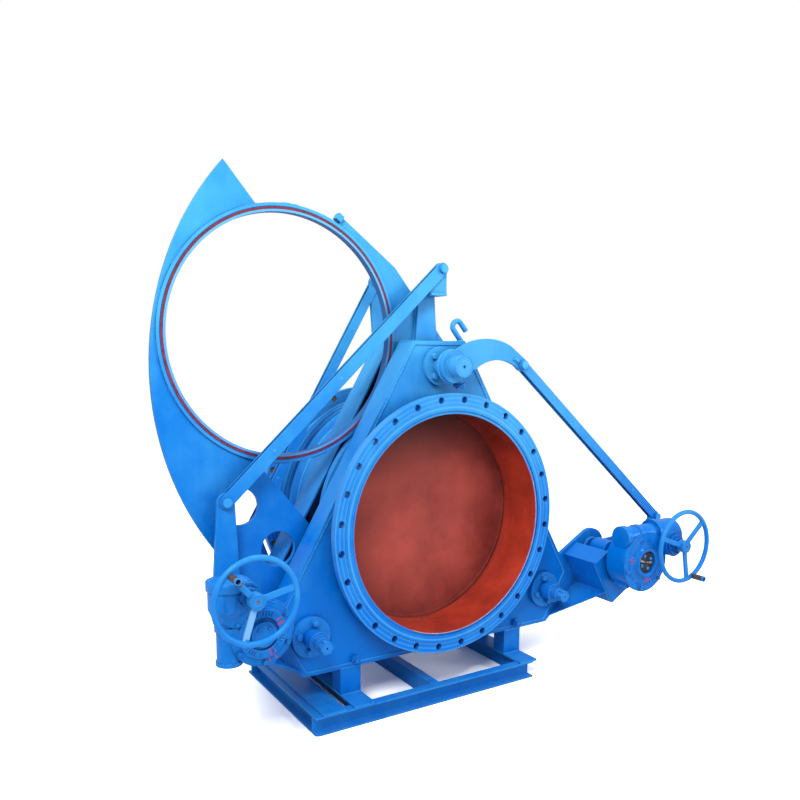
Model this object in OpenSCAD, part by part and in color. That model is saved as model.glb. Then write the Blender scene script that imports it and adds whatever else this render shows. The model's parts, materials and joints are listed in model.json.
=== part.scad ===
// Swing-plate blind valve for a large gas main.
// Two plate-built body halves stand on a channel base and hold the pipe bore. A fan-shaped sector
// between them carries a blind disc and an open port ring. The left gearbox swings the sector
// through a lever and a rod. The right gearbox turns three clamp screws through an arched arm,
// and cranks and rods behind the body tie the screws together.
// X runs to the right, Y away from the front flange, Z up. The origin is on the floor under the
// centre of the front flange's face. Points in the X-Z plane are given from the bore axis.

/* [Bore and flanges] */
// Height of the bore axis over the floor
axis_h = 813; // [780:1:900]
// Outside radius of the line pipe
pipe_r = 510; // [505:1:515]
// Wall of the line pipe
pipe_wall = 15; // [10:1:18]
// Outside diameter of each flange
flange_od = 1175; // [1170:1:1200]
// Bolt circle of each flange
bolt_pcd = 1120; // [1118:1:1122]
// Bolts in each flange
bolt_count = 28; // [28]
// Bolt hole diameter
bolt_hole_d = 30; // [26:1:32]
// Flange thickness
flange_t = 36; // [30:1:40]
// Face to face length
length = 816; // [810:1:840]

/* [Body halves] */
// Distance from the body's centre to its three long sides
side_r = 555; // [550:1:560]
// Distance from the body's centre to its three corner cuts
cut_r = 866; // [860:1:875]
// Height of the body's centre from the bore axis
body_z = -50; // [-55:1:-45]
// Plate thickness of the walls and faces
wall_t = 16; // [12:1:16]
// Front of the front half
front_y0 = 110; // [105:1:115]
// Back of the front half
front_y1 = 225; // [220:1:228]
// Front of the rear half
rear_y0 = 300; // [297:1:305]
// Back of the rear half
rear_y1 = 440; // [430:1:450]

/* [Sector] */
// Radius of the sector's outer edge about its pivot
sector_r = 1246; // [1242:1:1250]
// Distance from the pivot to the ring and disc centres
port_arm = 700; // [698:1:702]
// Swing between the blind disc and the port ring
swing = 100.7; // [100:0.1:101]
// Bore radius of the port ring
port_r = 497; // [495:1:500]
// Outside radius of the port ring and the blind disc
port_rim_r = 533; // [530:1:536]
// Front face of the ring and disc
port_y0 = 240; // [239:1:242]
// Back face of the ring and disc
port_y1 = 276; // [274:1:280]
// Front face of the sector's web
web_y0 = 250; // [247:1:254]
// Thickness of the sector's web
web_t = 20; // [16:1:22]
// Radius of the two lightening holes
light_hole_r = 77; // [70:1:80]

/* [Clamp screws] */
// Distance of the three screws from the body's centre
screw_pitch_r = 754; // [750:1:757]
// Screw shaft radius
screw_r = 30; // [26:1:32]
// Reach of the clamp arm and cranks
clamp_r = 405; // [400:1:410]
// Rest angle of the front clamp arm
arm_angle = 0.6; // [0:0.1:2]
// Rest angle of the rear cranks on the top and left screws
rear_angle = 104; // [100:1:106]
// Rest angle of the crank on the right gearbox
clamp_crank_angle = 19.8; // [19:0.1:21]

/* [Drives] */
// Sideways distance of both gearbox shafts
gear_x = 988; // [985:1:992]
// Height of both gearbox shafts from the bore axis
gear_z = -251; // [-255:1:-248]
// Reach of the drive lever
lever_r = 420; // [412:1:424]
// Rest angle of the drive lever
lever_angle = 89.3; // [88:0.1:90]
// Reach of the sector's crank
sector_crank_r = 439; // [434:1:442]
// Rest angle of the sector's crank pin
sector_crank_angle = 82.5; // [81:0.1:83]
// Radius of the link pins
pin_r = 20; // [16:1:22]

/* [Base] */
// Height of the base channels
channel_h = 80; // [78:1:82]
// Width of the channel flanges
channel_w = 43; // [40:1:45]
// Left edge of the base
base_x0 = -690; // [-700:1:-685]
// Right edge of the base
base_x1 = 486; // [470:1:500]
// Front edge of the base
base_y0 = -18; // [-20:1:0]
// Rear edge of the base
base_y1 = 747; // [740:1:760]
// Thickness of the pads on the base
pad_t = 8; // [6:1:8]

/* [Hidden] */
$fn = 96;
fit = 0.05;                                    // running clearance of a shaft in its bore
blue = [0.10, 0.52, 0.90];
red_oxide = [0.55, 0.20, 0.16];
seal_red = [0.42, 0.10, 0.10];
bare_steel = [0.45, 0.45, 0.47];
mid_y = (front_y1 + rear_y0) / 2;
pivot = [0, body_z + screw_pitch_r];           // top screw, which is also the sector's pivot
left_pin = [-screw_pitch_r * cos(30), body_z - screw_pitch_r / 2];
right_pin = [screw_pitch_r * cos(30), body_z - screw_pitch_r / 2];
gear_left = [-gear_x, gear_z];
gear_right = [gear_x, gear_z];
ring_angle = 270 - swing;
bisector = 270 - swing / 2;
ring_c = pivot + port_arm * [cos(ring_angle), sin(ring_angle)];
disc_c = pivot + port_arm * [0, -1];
lever_tip = gear_left + lever_r * [cos(lever_angle), sin(lever_angle)];
lug_tip = pivot + sector_crank_r * [cos(sector_crank_angle), sin(sector_crank_angle)];
arm_tip = pivot + clamp_r * [cos(arm_angle), sin(arm_angle)];
crank_tip = gear_right + clamp_r * [cos(clamp_crank_angle), sin(clamp_crank_angle)];
rear_left_reach = clamp_r * [cos(rear_angle), sin(rear_angle)];
rear_right_reach = clamp_r * [cos(rear_angle - 120), sin(rear_angle - 120)];
seat_r = 560;
bush_r = 50;
flat_t = 6;                                    // thickness of each flat in a twin-flat rod
tie_r = 9;                                     // distance pieces between the flats
pin_head = 14;                                 // how far a pin stands out of the flats
drive_y = 187;                                 // middle plane of the drive rod
clamp_y = 26;                                  // middle plane of the clamp rod
rear_rod_y = 517.5;                            // middle plane of the rear rods
drive_plate_t = 16;
clamp_plate_t = 16;

// ---------- helpers ----------

// Extrudes an outline drawn in X and Z from y0 to y1.
module slab(y0, y1) {
    translate([0, y1, axis_h]) rotate([90, 0, 0]) linear_extrude(height = y1 - y0) children();
}

// A round bar along Y at the point p.
module bar_y(p, r, y0, y1) {
    translate([p.x, y0, axis_h + p.y]) rotate([-90, 0, 0]) cylinder(r = r, h = y1 - y0);
}

// Turns a profile of [radius, y] points about the line along Y through p.
module turned(p = [0, 0]) {
    translate([p.x, 0, axis_h + p.y]) rotate([-90, 0, 0]) rotate_extrude($fn = 144) children();
}

// Outline of a bar from p to q, with round ends of radius rp and rq. Its straight sides lie the
// sink inside the ends' tangents, so that they cross the ends instead of only touching them.
module link(p, q, rp, rq) {
    sink = 0.3;
    span = norm(q - p);
    lean = asin((rp - rq) / span);
    translate(p) rotate(atan2(q.y - p.y, q.x - p.x)) {
        circle(r = rp);
        translate([span, 0]) circle(r = rq);
        polygon([for (e = [[0, rp, 1], [span, rq, 1], [span, rq, -1], [0, rp, -1]])
            [e[0] + (e[1] - sink) * sin(lean), e[2] * (e[1] - sink) * cos(lean)]]);
    }
}

// Two flats side by side from p to q about the plane y, with ties and a pin at each end.
// A pin that is marked open has only its two heads, outside the flats.
module twin_rod(p, q, half_w, y, plate_t, ties, open_p = false, open_q = false) {
    gap = plate_t / 2 + 2;
    outer = gap + flat_t;
    for (s = [-1, 1])
        slab(min(s * gap, s * outer) + y, max(s * gap, s * outer) + y) link(p, q, half_w, half_w);
    for (t = ties)
        bar_y(p + t * (q - p), tie_r, y - gap, y + gap);
    for (e = [[p, open_p], [q, open_q]]) {
        bar_y(e[0], pin_r, y - outer - pin_head, y - outer);
        bar_y(e[0], pin_r, y + outer, y + outer + pin_head);
        if (!e[1])
            bar_y(e[0], pin_r, y - gap, y + gap);
    }
}

// ---------- body halves ----------

// End s of the corner cut that faces the angle a, on the body's outline set in by inset.
function body_corner(a, s, inset = 0) =
    let (cut = cut_r - inset, half_w = (2 * (side_r - inset) - cut) * tan(30))
    [0, body_z] + cut * [cos(a), sin(a)] + s * half_w * [-sin(a), cos(a)];

// The body's outline, a triangle with its corners cut, set in by inset.
module body_outline(inset = 0) {
    polygon([for (a = [90, 210, 330], s = [-1, 1]) body_corner(a, s, inset)]);
}

module half_walls(y0, y1) {
    slab(y0, y1) difference() {
        body_outline();
        body_outline(wall_t);
    }
}

module half_plate(y0) {
    difference() {
        slab(y0, y0 + wall_t) difference() {
            body_outline(wall_t);
            circle(r = pipe_r, $fn = 144);
        }
        for (p = [pivot, left_pin, right_pin])
            bar_y(p, bush_r, y0 - 1, y0 + wall_t + 1);
        for (p = guide_points)
            bar_y(p, guide_r, y0 - 1, y0 + wall_t + 1);
    }
}

guide_points = [[-440, -572], [475, -572]];
guide_r = 12;
plate_inset = 4;                               // the face plates sit this far inside the walls

module front_walls() {
    color(blue) half_walls(front_y0, front_y1);
}

module rear_walls() {
    color(blue) half_walls(rear_y0, rear_y1);
}

module front_plate() {
    color(blue) half_plate(front_y0 + plate_inset);
}

module rear_plate() {
    color(blue) half_plate(rear_y1 - plate_inset - wall_t);
}

// ---------- pipe, flanges and bellows ----------

// Raised-face ring flange with its bolt holes. face_y is the gasket face, back is +1 where the
// ring lies behind the face and -1 where it lies in front.
module ring_flange(face_y, back) {
    difference() {
        turned() polygon([[pipe_r, face_y], [540, face_y], [540, face_y + back * 3],
                          [flange_od / 2, face_y + back * 3], [flange_od / 2, face_y + back * flange_t],
                          [pipe_r, face_y + back * flange_t]]);
        for (i = [0 : bolt_count - 1]) {
            a = 90 + (i + 0.5) * 360 / bolt_count;
            bar_y(bolt_pcd / 2 * [cos(a), sin(a)], bolt_hole_d / 2,
                  min(face_y, face_y + back * flange_t) - 1, max(face_y, face_y + back * flange_t) + 1);
        }
    }
}

module front_flange() {
    color(blue) ring_flange(0, 1);
}

module rear_flange() {
    color(blue) ring_flange(length, -1);
}

bore_r = pipe_r - pipe_wall;
seat_t = 20;
front_seat_y = 232;
rear_seat_y = 293;

// Seat plate on the pipe's end, trimmed to lie between the body's walls.
module seat_plate(y0) {
    intersection() {
        turned() polygon([[bore_r, y0], [seat_r, y0], [seat_r, y0 + seat_t], [bore_r, y0 + seat_t]]);
        slab(y0 - 1, y0 + seat_t + 1) body_outline(wall_t);
    }
}

// Pipe from the flange to the seat, with the seat plate and its lip on the end.
module front_pipe() {
    color(blue) {
        turned() polygon([[bore_r, 5], [pipe_r, 5], [pipe_r, front_y1 - seat_t], [bore_r + 10, front_y1 - seat_t],
            [bore_r + 10, front_seat_y], [bore_r - 3, front_seat_y], [bore_r - 3, front_y1 - seat_t],
            [bore_r, front_y1 - seat_t]]);
        seat_plate(front_y1 - seat_t);
    }
}

bellows_y0 = 545;
bellows_y1 = 725;

// Seat, pipe through the rear half, and the last length of pipe up to the rear flange.
module rear_pipe() {
    color(blue) {
        turned() polygon([[bore_r, bellows_y0], [pipe_r, bellows_y0], [pipe_r, rear_y0 + seat_t],
            [bore_r + 10, rear_y0 + seat_t], [bore_r + 10, rear_seat_y], [bore_r - 3, rear_seat_y],
            [bore_r - 3, rear_y0 + seat_t], [bore_r, rear_y0 + seat_t]]);
        seat_plate(rear_y0);
        turned() polygon([[bore_r, bellows_y1], [pipe_r, bellows_y1], [pipe_r, length - 5], [bore_r, length - 5]]);
    }
}

waves = 4;
wave_steps = 10;
wave_h = 18;
bellows_wall = 5;

// Corrugated expansion piece between the two lengths of pipe.
module bellows() {
    steps = waves * wave_steps;
    span = bellows_y1 - bellows_y0;
    crest = [for (i = [0 : steps])
        [bore_r + wave_h * (1 - cos(360 * waves * i / steps)), bellows_y0 + span * i / steps]];
    color(blue) turned() polygon(concat(
        [for (c = crest) [c.x + bellows_wall + 6, c.y]],
        [for (i = [steps : -1 : 0]) crest[i]]));
}

// ---------- screws and guides ----------

bush_flange_r = 88;

// Flanged guide bush of a clamp screw, from the flange's outer face to the end of its tube.
module bush(p, flange_y0, flange_y1, tube_y0, tube_y1) {
    difference() {
        union() {
            bar_y(p, bush_flange_r, flange_y0, flange_y1);
            bar_y(p, bush_r, tube_y0, tube_y1);
        }
        bar_y(p, screw_r + fit, min(flange_y0, tube_y0) - 1, max(flange_y1, tube_y1) + 1);
    }
}

module front_bushes() {
    y = front_y0 + plate_inset;
    color(blue) for (p = [pivot, left_pin, right_pin])
        bush(p, y - 22, y, y - 22, front_y1);
}

module rear_bushes() {
    y = rear_y1 - plate_inset;
    color(blue) for (p = [pivot, left_pin, right_pin])
        bush(p, y, y + 22, rear_y0, y + 22);
}

// Guide rods along the foot of the body, with a nut at each end.
module guide_rods() {
    color(blue) for (p = guide_points) {
        bar_y(p, guide_r, front_y0 - 30, rear_y1 + 30);
        for (y = [front_y0 + plate_inset - 20, rear_y1 - plate_inset])
            translate([p.x, y, axis_h + p.y]) rotate([-90, 0, 0]) cylinder(r = 19, h = 20, $fn = 6);
    }
}

hook_bar_r = 12;
hook_bend_r = 25;

// Open lifting hook of bent round bar, standing on the top of a body half.
module hook(x, y) {
    translate([x, y, axis_h + 881]) rotate([90, 0, 0]) {
        rotate([0, 0, 40]) rotate_extrude(angle = 180, $fn = 48)
            translate([hook_bend_r, 0]) circle(r = hook_bar_r, $fn = 24);
        for (leg = [[40, 45], [220, 66]])
            rotate([0, 0, leg[0]]) translate([hook_bend_r, 0, 0])
                rotate([leg[0] == 40 ? 90 : -90, 0, 0]) cylinder(r = hook_bar_r, h = leg[1], $fn = 24);
    }
}

module lifting_hooks() {
    color(blue) difference() {
        union() {
            hook(108, front_y0 + 18);
            hook(87, (rear_y0 + rear_y1) / 2);
        }
        slab(front_y0, rear_y1) body_outline();
    }
}

// Stepped front end of a lower screw, ending in a hexagon.
module lower_screw(p) {
    bar_y(p, screw_r, -20, rear_rod_y + 24);
    bar_y(p, 42, 20, 90);
    difference() {
        translate([p.x, -52, axis_h + p.y]) rotate([-90, 0, 0]) cylinder(r = 29, h = 40, $fn = 6);
        bar_y(p, 4, -53, -44);
    }
}

module top_screw() {
    color(blue) difference() {
        union() {
            bar_y(pivot, screw_r, -20, rear_rod_y + 24);
            bar_y(pivot, 47, -76, -10);
            bar_y(pivot, 48, 60, 90);
        }
        bar_y(pivot, 5, -77, -64);
    }
}

rear_hub_r = 75;

// Rear crank from the screw at p to the pin at p + reach, with a hub over the screw's end.
module rear_crank(p, reach) {
    y = rear_rod_y;
    difference() {
        union() {
            slab(y - clamp_plate_t / 2, y + clamp_plate_t / 2) link(p, p + reach, rear_hub_r, 30);
            bar_y(p, 58, y - 34, y - clamp_plate_t / 2);
        }
        bar_y(p, screw_r, y - 60, y + 60);
        bar_y(p + reach, pin_r + fit, y - 40, y + 40);
    }
}

module left_screw() {
    color(blue) {
        lower_screw(left_pin);
        rear_crank(left_pin, rear_left_reach);
    }
}

module right_screw() {
    color(blue) {
        lower_screw(right_pin);
        rear_crank(right_pin, rear_right_reach);
    }
}

module rear_bell_crank() {
    y = rear_rod_y;
    color(blue) difference() {
        union() {
            slab(y - clamp_plate_t / 2, y + clamp_plate_t / 2) {
                link(pivot, pivot + rear_left_reach, 100, 32);
                link(pivot, pivot + rear_right_reach, 100, 32);
            }
            bar_y(pivot, 58, y - 34, y - clamp_plate_t / 2);
        }
        bar_y(pivot, screw_r, y - 60, y + 60);
        bar_y(pivot + rear_left_reach, pin_r + fit, y - 40, y + 40);
        bar_y(pivot + rear_right_reach, pin_r + fit, y - 40, y + 40);
    }
}

module left_rear_rod() {
    color(blue) twin_rod(pivot + rear_left_reach, left_pin + rear_left_reach, 22, rear_rod_y, clamp_plate_t,
                         [0.2, 0.5, 0.8]);
}

module right_rear_rod() {
    color(blue) twin_rod(pivot + rear_right_reach, right_pin + rear_right_reach, 22, rear_rod_y, clamp_plate_t,
                         [0.2, 0.5, 0.8]);
}

// ---------- front clamp linkage ----------

arm_outer = [[197, 511], 315];                 // centre and radius of the arm's upper edge
arm_inner = [[258, 520], 211];                 // centre and radius of the arm's lower edge

module arm_outline() {
    polygon(concat(
        [for (a = [124 : -4 : 64]) arm_outer[0] + arm_outer[1] * [cos(a), sin(a)]],
        [arm_tip + 30 * [cos(52), sin(52)], arm_tip + 30 * [cos(232), sin(232)]],
        [for (a = [62 : 8 : 126]) arm_inner[0] + arm_inner[1] * [cos(a), sin(a)]],
        [pivot + 70 * [cos(-30), sin(-30)], pivot]));
    translate(arm_tip) circle(r = 30);
    translate(pivot) circle(r = 72);
}

module clamp_arm() {
    y = clamp_y;
    color(blue) difference() {
        union() {
            slab(y - clamp_plate_t / 2, y + clamp_plate_t / 2) arm_outline();
            bar_y(pivot, 72, -10, y);
            bar_y(pivot, 54, y, 60);
        }
        bar_y(pivot, screw_r, -20, 70);
        bar_y(arm_tip, pin_r + fit, y - 40, y + 40);
    }
}

module clamp_rod() {
    color(blue) twin_rod(arm_tip, crank_tip, 23, clamp_y, clamp_plate_t, [0.2, 0.5, 0.8], open_q = true);
}

shaft_r_right = 24;
crank_bend = crank_tip - [75, 95];

module clamp_crank() {
    y = clamp_y;
    color(blue) {
        slab(y - clamp_plate_t / 2, y + clamp_plate_t / 2) {
            link(gear_right, crank_bend, 58, 36);
            link(crank_bend, crank_tip, 36, 30);
        }
        bar_y(gear_right, 58, -32, 68);
        bar_y(gear_right, shaft_r_right, -180, 160);
    }
}

// ---------- sector ----------

// Places an outline drawn along the sector's middle line, with +X outward from the pivot.
module on_bisector() {
    translate(pivot) rotate(bisector) children();
}

function from_pivot(r, a) = r * [cos(a), sin(a)];
tip_a = 78.6;                                  // half the angle between the inner ends of the tips
edge_drop = 14;                                // the outer edge's centre lies this far under the pivot
chord_r = 885;                                 // inner edge of the outer web
hole_arm = 1065;                               // distance of the lightening holes from the pivot
hole_a = 6.9;                                  // half the angle between the lightening holes
stop_c = [-431, 1331];                         // stop block on the sector's upper edge
stop_w = 29;
stop_y0 = 236;
weld_gap = 0.15;                               // between the web's cut-outs and the rims welded into them

module sector_outline() {
    tangent_r = port_arm * cos(swing / 2);
    on_bisector() difference() {
        union() {
            intersection() {
                translate(from_pivot(edge_drop, swing / 2)) circle(r = sector_r, $fn = 180);
                polygon([[0, 0], from_pivot(1040, -tip_a), from_pivot(1300, -tip_a - 2.2),
                         from_pivot(2 * sector_r, -40), from_pivot(2 * sector_r, 40),
                         from_pivot(1300, tip_a + 2.2), from_pivot(1040, tip_a)]);
            }
            polygon([from_pivot(755, 96.3), from_pivot(461, 110.7), from_pivot(164, 180), from_pivot(461, -110.7),
                     from_pivot(755, -96.3), from_pivot(port_arm, -swing / 2), from_pivot(port_arm, swing / 2)]);
        }
        difference() {
            translate([tangent_r, -port_arm * sin(swing / 2)])
                square([chord_r - tangent_r, 2 * port_arm * sin(swing / 2)]);
            for (s = [-1, 1])
                translate(from_pivot(port_arm, s * swing / 2)) circle(r = port_rim_r, $fn = 144);
        }
        for (s = [-1, 1]) {
            translate(from_pivot(port_arm, s * swing / 2)) circle(r = port_rim_r + weld_gap, $fn = 144);
            translate(from_pivot(hole_arm, s * hole_a)) circle(r = light_hole_r);
        }
    }
}

module sector_web() {
    color(blue) difference() {
        union() {
            slab(web_y0, web_y0 + web_t) sector_outline();
            slab(stop_y0, web_y0 + web_t) translate(stop_c)
                rotate(-36) square([stop_w, stop_w], center = true);
        }
        bar_y(pivot, screw_r + fit, web_y0 - 1, web_y0 + web_t + 1);
    }
}

groove_r0 = 507;
groove_r1 = 520;
groove_d = 6;

// Rim section shared by the port ring and the blind disc, from radius r0 out to the rim.
module rim_section(r0) {
    polygon([[r0, port_y0], [groove_r0, port_y0], [groove_r0, port_y0 + groove_d], [groove_r1, port_y0 + groove_d],
             [groove_r1, port_y0 + 2], [port_rim_r, port_y0 + 2], [port_rim_r, port_y1 - 2],
             [groove_r1, port_y1 - 2], [groove_r1, port_y1 - groove_d], [groove_r0, port_y1 - groove_d],
             [groove_r0, port_y1], [r0, port_y1]]);
}

module port_ring() {
    color(blue) turned(ring_c) rim_section(port_r);
}

disc_face_r = 488;

// The blind disc: the same rim round a plate whose face lies a little deeper.
module blind_disc() {
    color(red_oxide) {
        turned(disc_c) rim_section(disc_face_r);
        bar_y(disc_c, disc_face_r, port_y0 + 6, port_y1 - 6);
    }
}

module sector_seals() {
    color(seal_red) for (c = [ring_c, disc_c], y = [port_y0 + 1.5, port_y1 - groove_d])
        turned(c) translate([groove_r0, y]) square([groove_r1 - groove_r0, groove_d - 1.5]);
}

crank_y0 = 231;
crank_top = 1020;
hub_r = 75;
lug_tip_r = 26;

// Crank on the front of the sector: hub, upright plate, shelf reaching forward, and pin lug.
module sector_crank() {
    lug_y0 = drive_y - drive_plate_t / 2;
    lug_y1 = drive_y + drive_plate_t / 2;
    color(blue) difference() {
        union() {
            slab(crank_y0, web_y0) {
                polygon([[-hub_r, pivot.y], [-48, 830], [-34, crank_top], [53, crank_top], [66, 830],
                         [hub_r, pivot.y]]);
                translate(pivot) circle(r = hub_r);
            }
            slab(160, web_y0) translate([-10, crank_top - 1]) square([82, 11]);
            slab(lug_y0, lug_y1) {
                translate(lug_tip) circle(r = lug_tip_r);
                polygon([[lug_tip.x - lug_tip_r, lug_tip.y], [lug_tip.x + lug_tip_r, lug_tip.y], [83, crank_top + 8],
                         [-10, crank_top + 8]]);
            }
        }
        bar_y(pivot, screw_r + fit, crank_y0 - 1, web_y0 + 1);
    }
}

// ---------- drive linkage ----------

shaft_r_left = 28;

module drive_lever() {
    y0 = drive_y - drive_plate_t / 2;
    y1 = drive_y + drive_plate_t / 2;
    color(blue) difference() {
        union() {
            slab(y0, y1) link(gear_left, lever_tip, 60, 37);
            bar_y(gear_left, 58, 150, y1 + 18);
            bar_y(gear_left, shaft_r_left, -170, y1 + 26);
        }
        bar_y(lever_tip, pin_r + fit, y0 - 1, y1 + 1);
    }
}

module drive_rod() {
    color(blue) twin_rod(lever_tip, lug_tip, 28, drive_y, drive_plate_t, [0.2, 0.5, 0.78], open_q = true);
}

// ---------- gearbox brackets ----------

bracket_y0 = -112;
bracket_front_t = 14;
bracket_t = 14;
lug_r = 94;                                    // round end of the plate that holds the shaft
plate_v1 = 86;                                 // upper edge of a bracket's front plate

// Places an outline in the frame of a bracket: origin on the gearbox shaft, +X away from the
// body's sloping side and +Y up along it.
module on_bracket() {
    translate([gear_x, gear_z]) rotate(30) children();
}

side_u = side_r - (gear_x * cos(30) + (gear_z - body_z) * sin(30));   // body's sloping side in that frame

// Front plate of a bracket, from its inner upper corner to end.x along the arm and end.y down the
// body's side.
module bracket_face(u0, end) {
    slab(bracket_y0, bracket_y0 + bracket_front_t) on_bracket()
        translate([u0, end.y]) square([end.x - u0, plate_v1 - end.y]);
}

shelf_foot = body_corner(330, -1) + [14, 30];  // lower end of the shelf under a bracket
shelf_v = -100.6;                              // height of its upper end on the inner side plate
shelf_t = 8;

// Three-cornered shelf that ties the foot of a bracket to the body's lower corner.
module bracket_shelf(u0) {
    head = gear_right + u0 * [cos(30), sin(30)] + shelf_v * [-sin(30), cos(30)];
    rise = head - shelf_foot;
    translate([shelf_foot.x, front_y0, axis_h + shelf_foot.y]) rotate([0, -atan2(rise.y, rise.x), 0])
        translate([0, 0, -shelf_t]) linear_extrude(height = shelf_t)
            polygon([[0, 0], [norm(rise), 0], [norm(rise), bracket_y0 + bracket_front_t - front_y0]]);
}

// Bracket of the right gearbox. The left one is its mirror image, with a smaller front plate.
module bracket(shaft_r, u0, end) {
    y1 = front_y0 + 20;
    difference() {
        union() {
            bracket_face(u0, end);
            bracket_shelf(u0);
            slab(bracket_y0 + bracket_front_t, front_y0) on_bracket() {
                translate([u0, end.y]) square([bracket_t, plate_v1 - end.y]);
                translate([u0, plate_v1 - bracket_t]) square([100, bracket_t]);
                translate([u0, end.y]) square([80, bracket_t]);
            }
            slab(front_y0, y1) {
                on_bracket() translate([-3, 6]) {
                    polygon([[side_u + 3, lug_r], [0, lug_r], [0, -lug_r], [side_u + 3, -lug_r - 70]]);
                    circle(r = lug_r);
                }
                polygon([body_corner(330, 1), [905, -300], [888, -434], body_corner(330, -1)]);
            }
            bar_y(gear_right, 48, front_y0 - 12, y1 + 14);
        }
        bar_y(gear_right, shaft_r + fit, bracket_y0 - 1, y1 + 30);
    }
}

left_inner = -150;                             // inner edge of each front plate, and its far corner
right_inner = -176;
left_face = [40, -112];
right_face = [100, -169];

module left_bracket() {
    color(blue) mirror([1, 0, 0]) bracket(shaft_r_left, left_inner, left_face);
}

module right_bracket() {
    color(blue) bracket(shaft_r_right, right_inner, right_face);
}

// ---------- gearboxes ----------

// A round bar along X.
module bar_x(x0, x1, y, z, r) {
    translate([x0, y, axis_h + z]) rotate([0, 90, 0]) cylinder(r = r, h = x1 - x0);
}

// A round bar along Z.
module bar_z(x, y, z0, z1, r) {
    translate([x, y, axis_h + z0]) cylinder(r = r, h = z1 - z0);
}

left_wheel_c = [-1045, -95];
right_wheel_c = [1141, -171];
spindle_r = 15;
casing_y0 = -186;                              // front of the left gear casing
shaft_end_y = -172;                            // the gear shafts end in blind bores this far forward
left_worm = [-1100, -150];                     // X and Y of the left worm's axis
left_worm_r = 72;
left_worm_z = [-196, -62];                     // foot and top of the worm casing
left_tube_r = 45;
left_tube_z = -345;                            // foot of the tube under the worm casing

// Upright worm casing, the tube under it, and the gland that the handwheel's spindle enters.
module left_worm_case() {
    wx = left_worm.x;
    wy = left_worm.y;
    bar_z(wx, wy, left_tube_z, left_worm_z[0], left_tube_r);
    bar_z(wx, wy, left_tube_z - 14, left_tube_z, left_tube_r + 4);
    bar_z(wx, wy, left_worm_z[0] - 36, left_worm_z[0] - 18, left_tube_r + 6);
    bar_z(wx, wy, left_worm_z[0] + 46, left_worm_z[1], left_worm_r);
    translate([wx, wy, axis_h + left_worm_z[0]]) cylinder(r1 = left_tube_r + 6, r2 = left_worm_r, h = 46);
    bar_z(wx, wy, left_worm_z[1] - 16, left_worm_z[1] + 14, left_worm_r + 6);
    slab(-205, bracket_y0) link([wx + 15, wy], left_wheel_c, 60, 50);
    bar_y(left_wheel_c, 34, -240, -204);
}

// Worm gearbox of the sector drive, with its worm upright at the left.
module left_gearbox() {
    color(blue) difference() {
        union() {
            bar_y(gear_left, 118, casing_y0, bracket_y0);
            left_worm_case();
        }
        bar_y(gear_left, shaft_r_left + fit, shaft_end_y, bracket_y0 + 1);
        bar_y(left_wheel_c, spindle_r + fit, -241, -180);
        mirror([1, 0, 0]) bracket_face(left_inner, left_face);
    }
}

module left_gear_cover() {
    cover_y0 = casing_y0 - 14;
    color(blue) difference() {
        union() {
            bar_y(gear_left, 122, cover_y0, casing_y0);
            turned(gear_left) polygon([[62, cover_y0 - 8], [92, cover_y0 - 8], [96, cover_y0], [58, cover_y0]]);
            bar_y(gear_left, 47, cover_y0 - 16, cover_y0);
        }
        left_worm_case();
    }
}

right_casing_y0 = -234;                        // front of the right gear casing
worm_y = -196;                                 // Y and Z of the right worm's axis
worm_z = -125;
worm_lug = [897, -366];

// Level worm casing over the right gear, with the gland that the handwheel's spindle enters.
module right_worm_case() {
    bar_x(880, 1090, worm_y, worm_z, 48);
    bar_x(866, 896, worm_y, worm_z, 54);
    bar_x(960, 985, worm_y, worm_z, 52);
    bar_x(1080, 1105, worm_y, worm_z, 66);
    bar_x(1100, 1222, worm_y, worm_z - 20, 78);
    bar_y(right_wheel_c, 62, -296, worm_y);
    bar_y(right_wheel_c, 36, -320, -296);
}

// Worm gearbox of the clamp drive, with its worm level above the shaft.
module right_gearbox() {
    color(blue) difference() {
        union() {
            bar_y(gear_right, 142, right_casing_y0, -130);
            bar_y(gear_right, 95, -130, bracket_y0);
            right_worm_case();
            slab(-225, -150) link(worm_lug, worm_lug + [34, 48], 12, 22);
        }
        bar_y(gear_right, shaft_r_right + fit, shaft_end_y - 10, bracket_y0 + 1);
        bar_y(right_wheel_c, spindle_r + fit, -321, -250);
    }
}

module right_gear_cover() {
    cover_y0 = right_casing_y0 - 16;
    color(blue) {
        difference() {
            bar_y(gear_right, 147, cover_y0, right_casing_y0);
            right_worm_case();
        }
        turned(gear_right) polygon([[56, cover_y0 - 14], [70, cover_y0 - 14], [78, cover_y0 - 5], [84, cover_y0],
                                    [54, cover_y0]]);
    }
}

// Handwheel with a round rim, three spokes, a spindle and a tube handle.
module handwheel(c, rim_r, y, spindle_y1, spoke_a, handle_a, handle_reach) {
    rim_bar_r = 11;
    turned(c) translate([rim_r, y]) circle(r = rim_bar_r, $fn = 24);
    for (a = spoke_a)
        translate([c.x, y, axis_h + c.y]) rotate([0, 90 - a, 0]) rotate([0, 0, 90])
            linear_extrude(height = rim_r) square([10, 22], center = true);
    difference() {
        bar_y(c, 30, y - 16, y + 22);
        bar_y(c, 7, y - 17, y - 8);
    }
    bar_y(c, spindle_r, y + 22, spindle_y1);
    handle = c + handle_reach * [cos(handle_a), sin(handle_a)];
    difference() {
        bar_y(handle, 13, y - 72, y + 4);
        bar_y(handle, 9, y - 73, y - 12);
    }
}

module left_handwheel() {
    color(blue) handwheel(left_wheel_c, 154, -290, -182, [12, 132, 252], 132, 136);
}

module right_handwheel() {
    color(blue) handwheel(right_wheel_c, 170, -350, -252, [40, 160, 280], 293, 170);
}

// ---------- base ----------

channel_web = 5;
channel_flange = 8;

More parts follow.
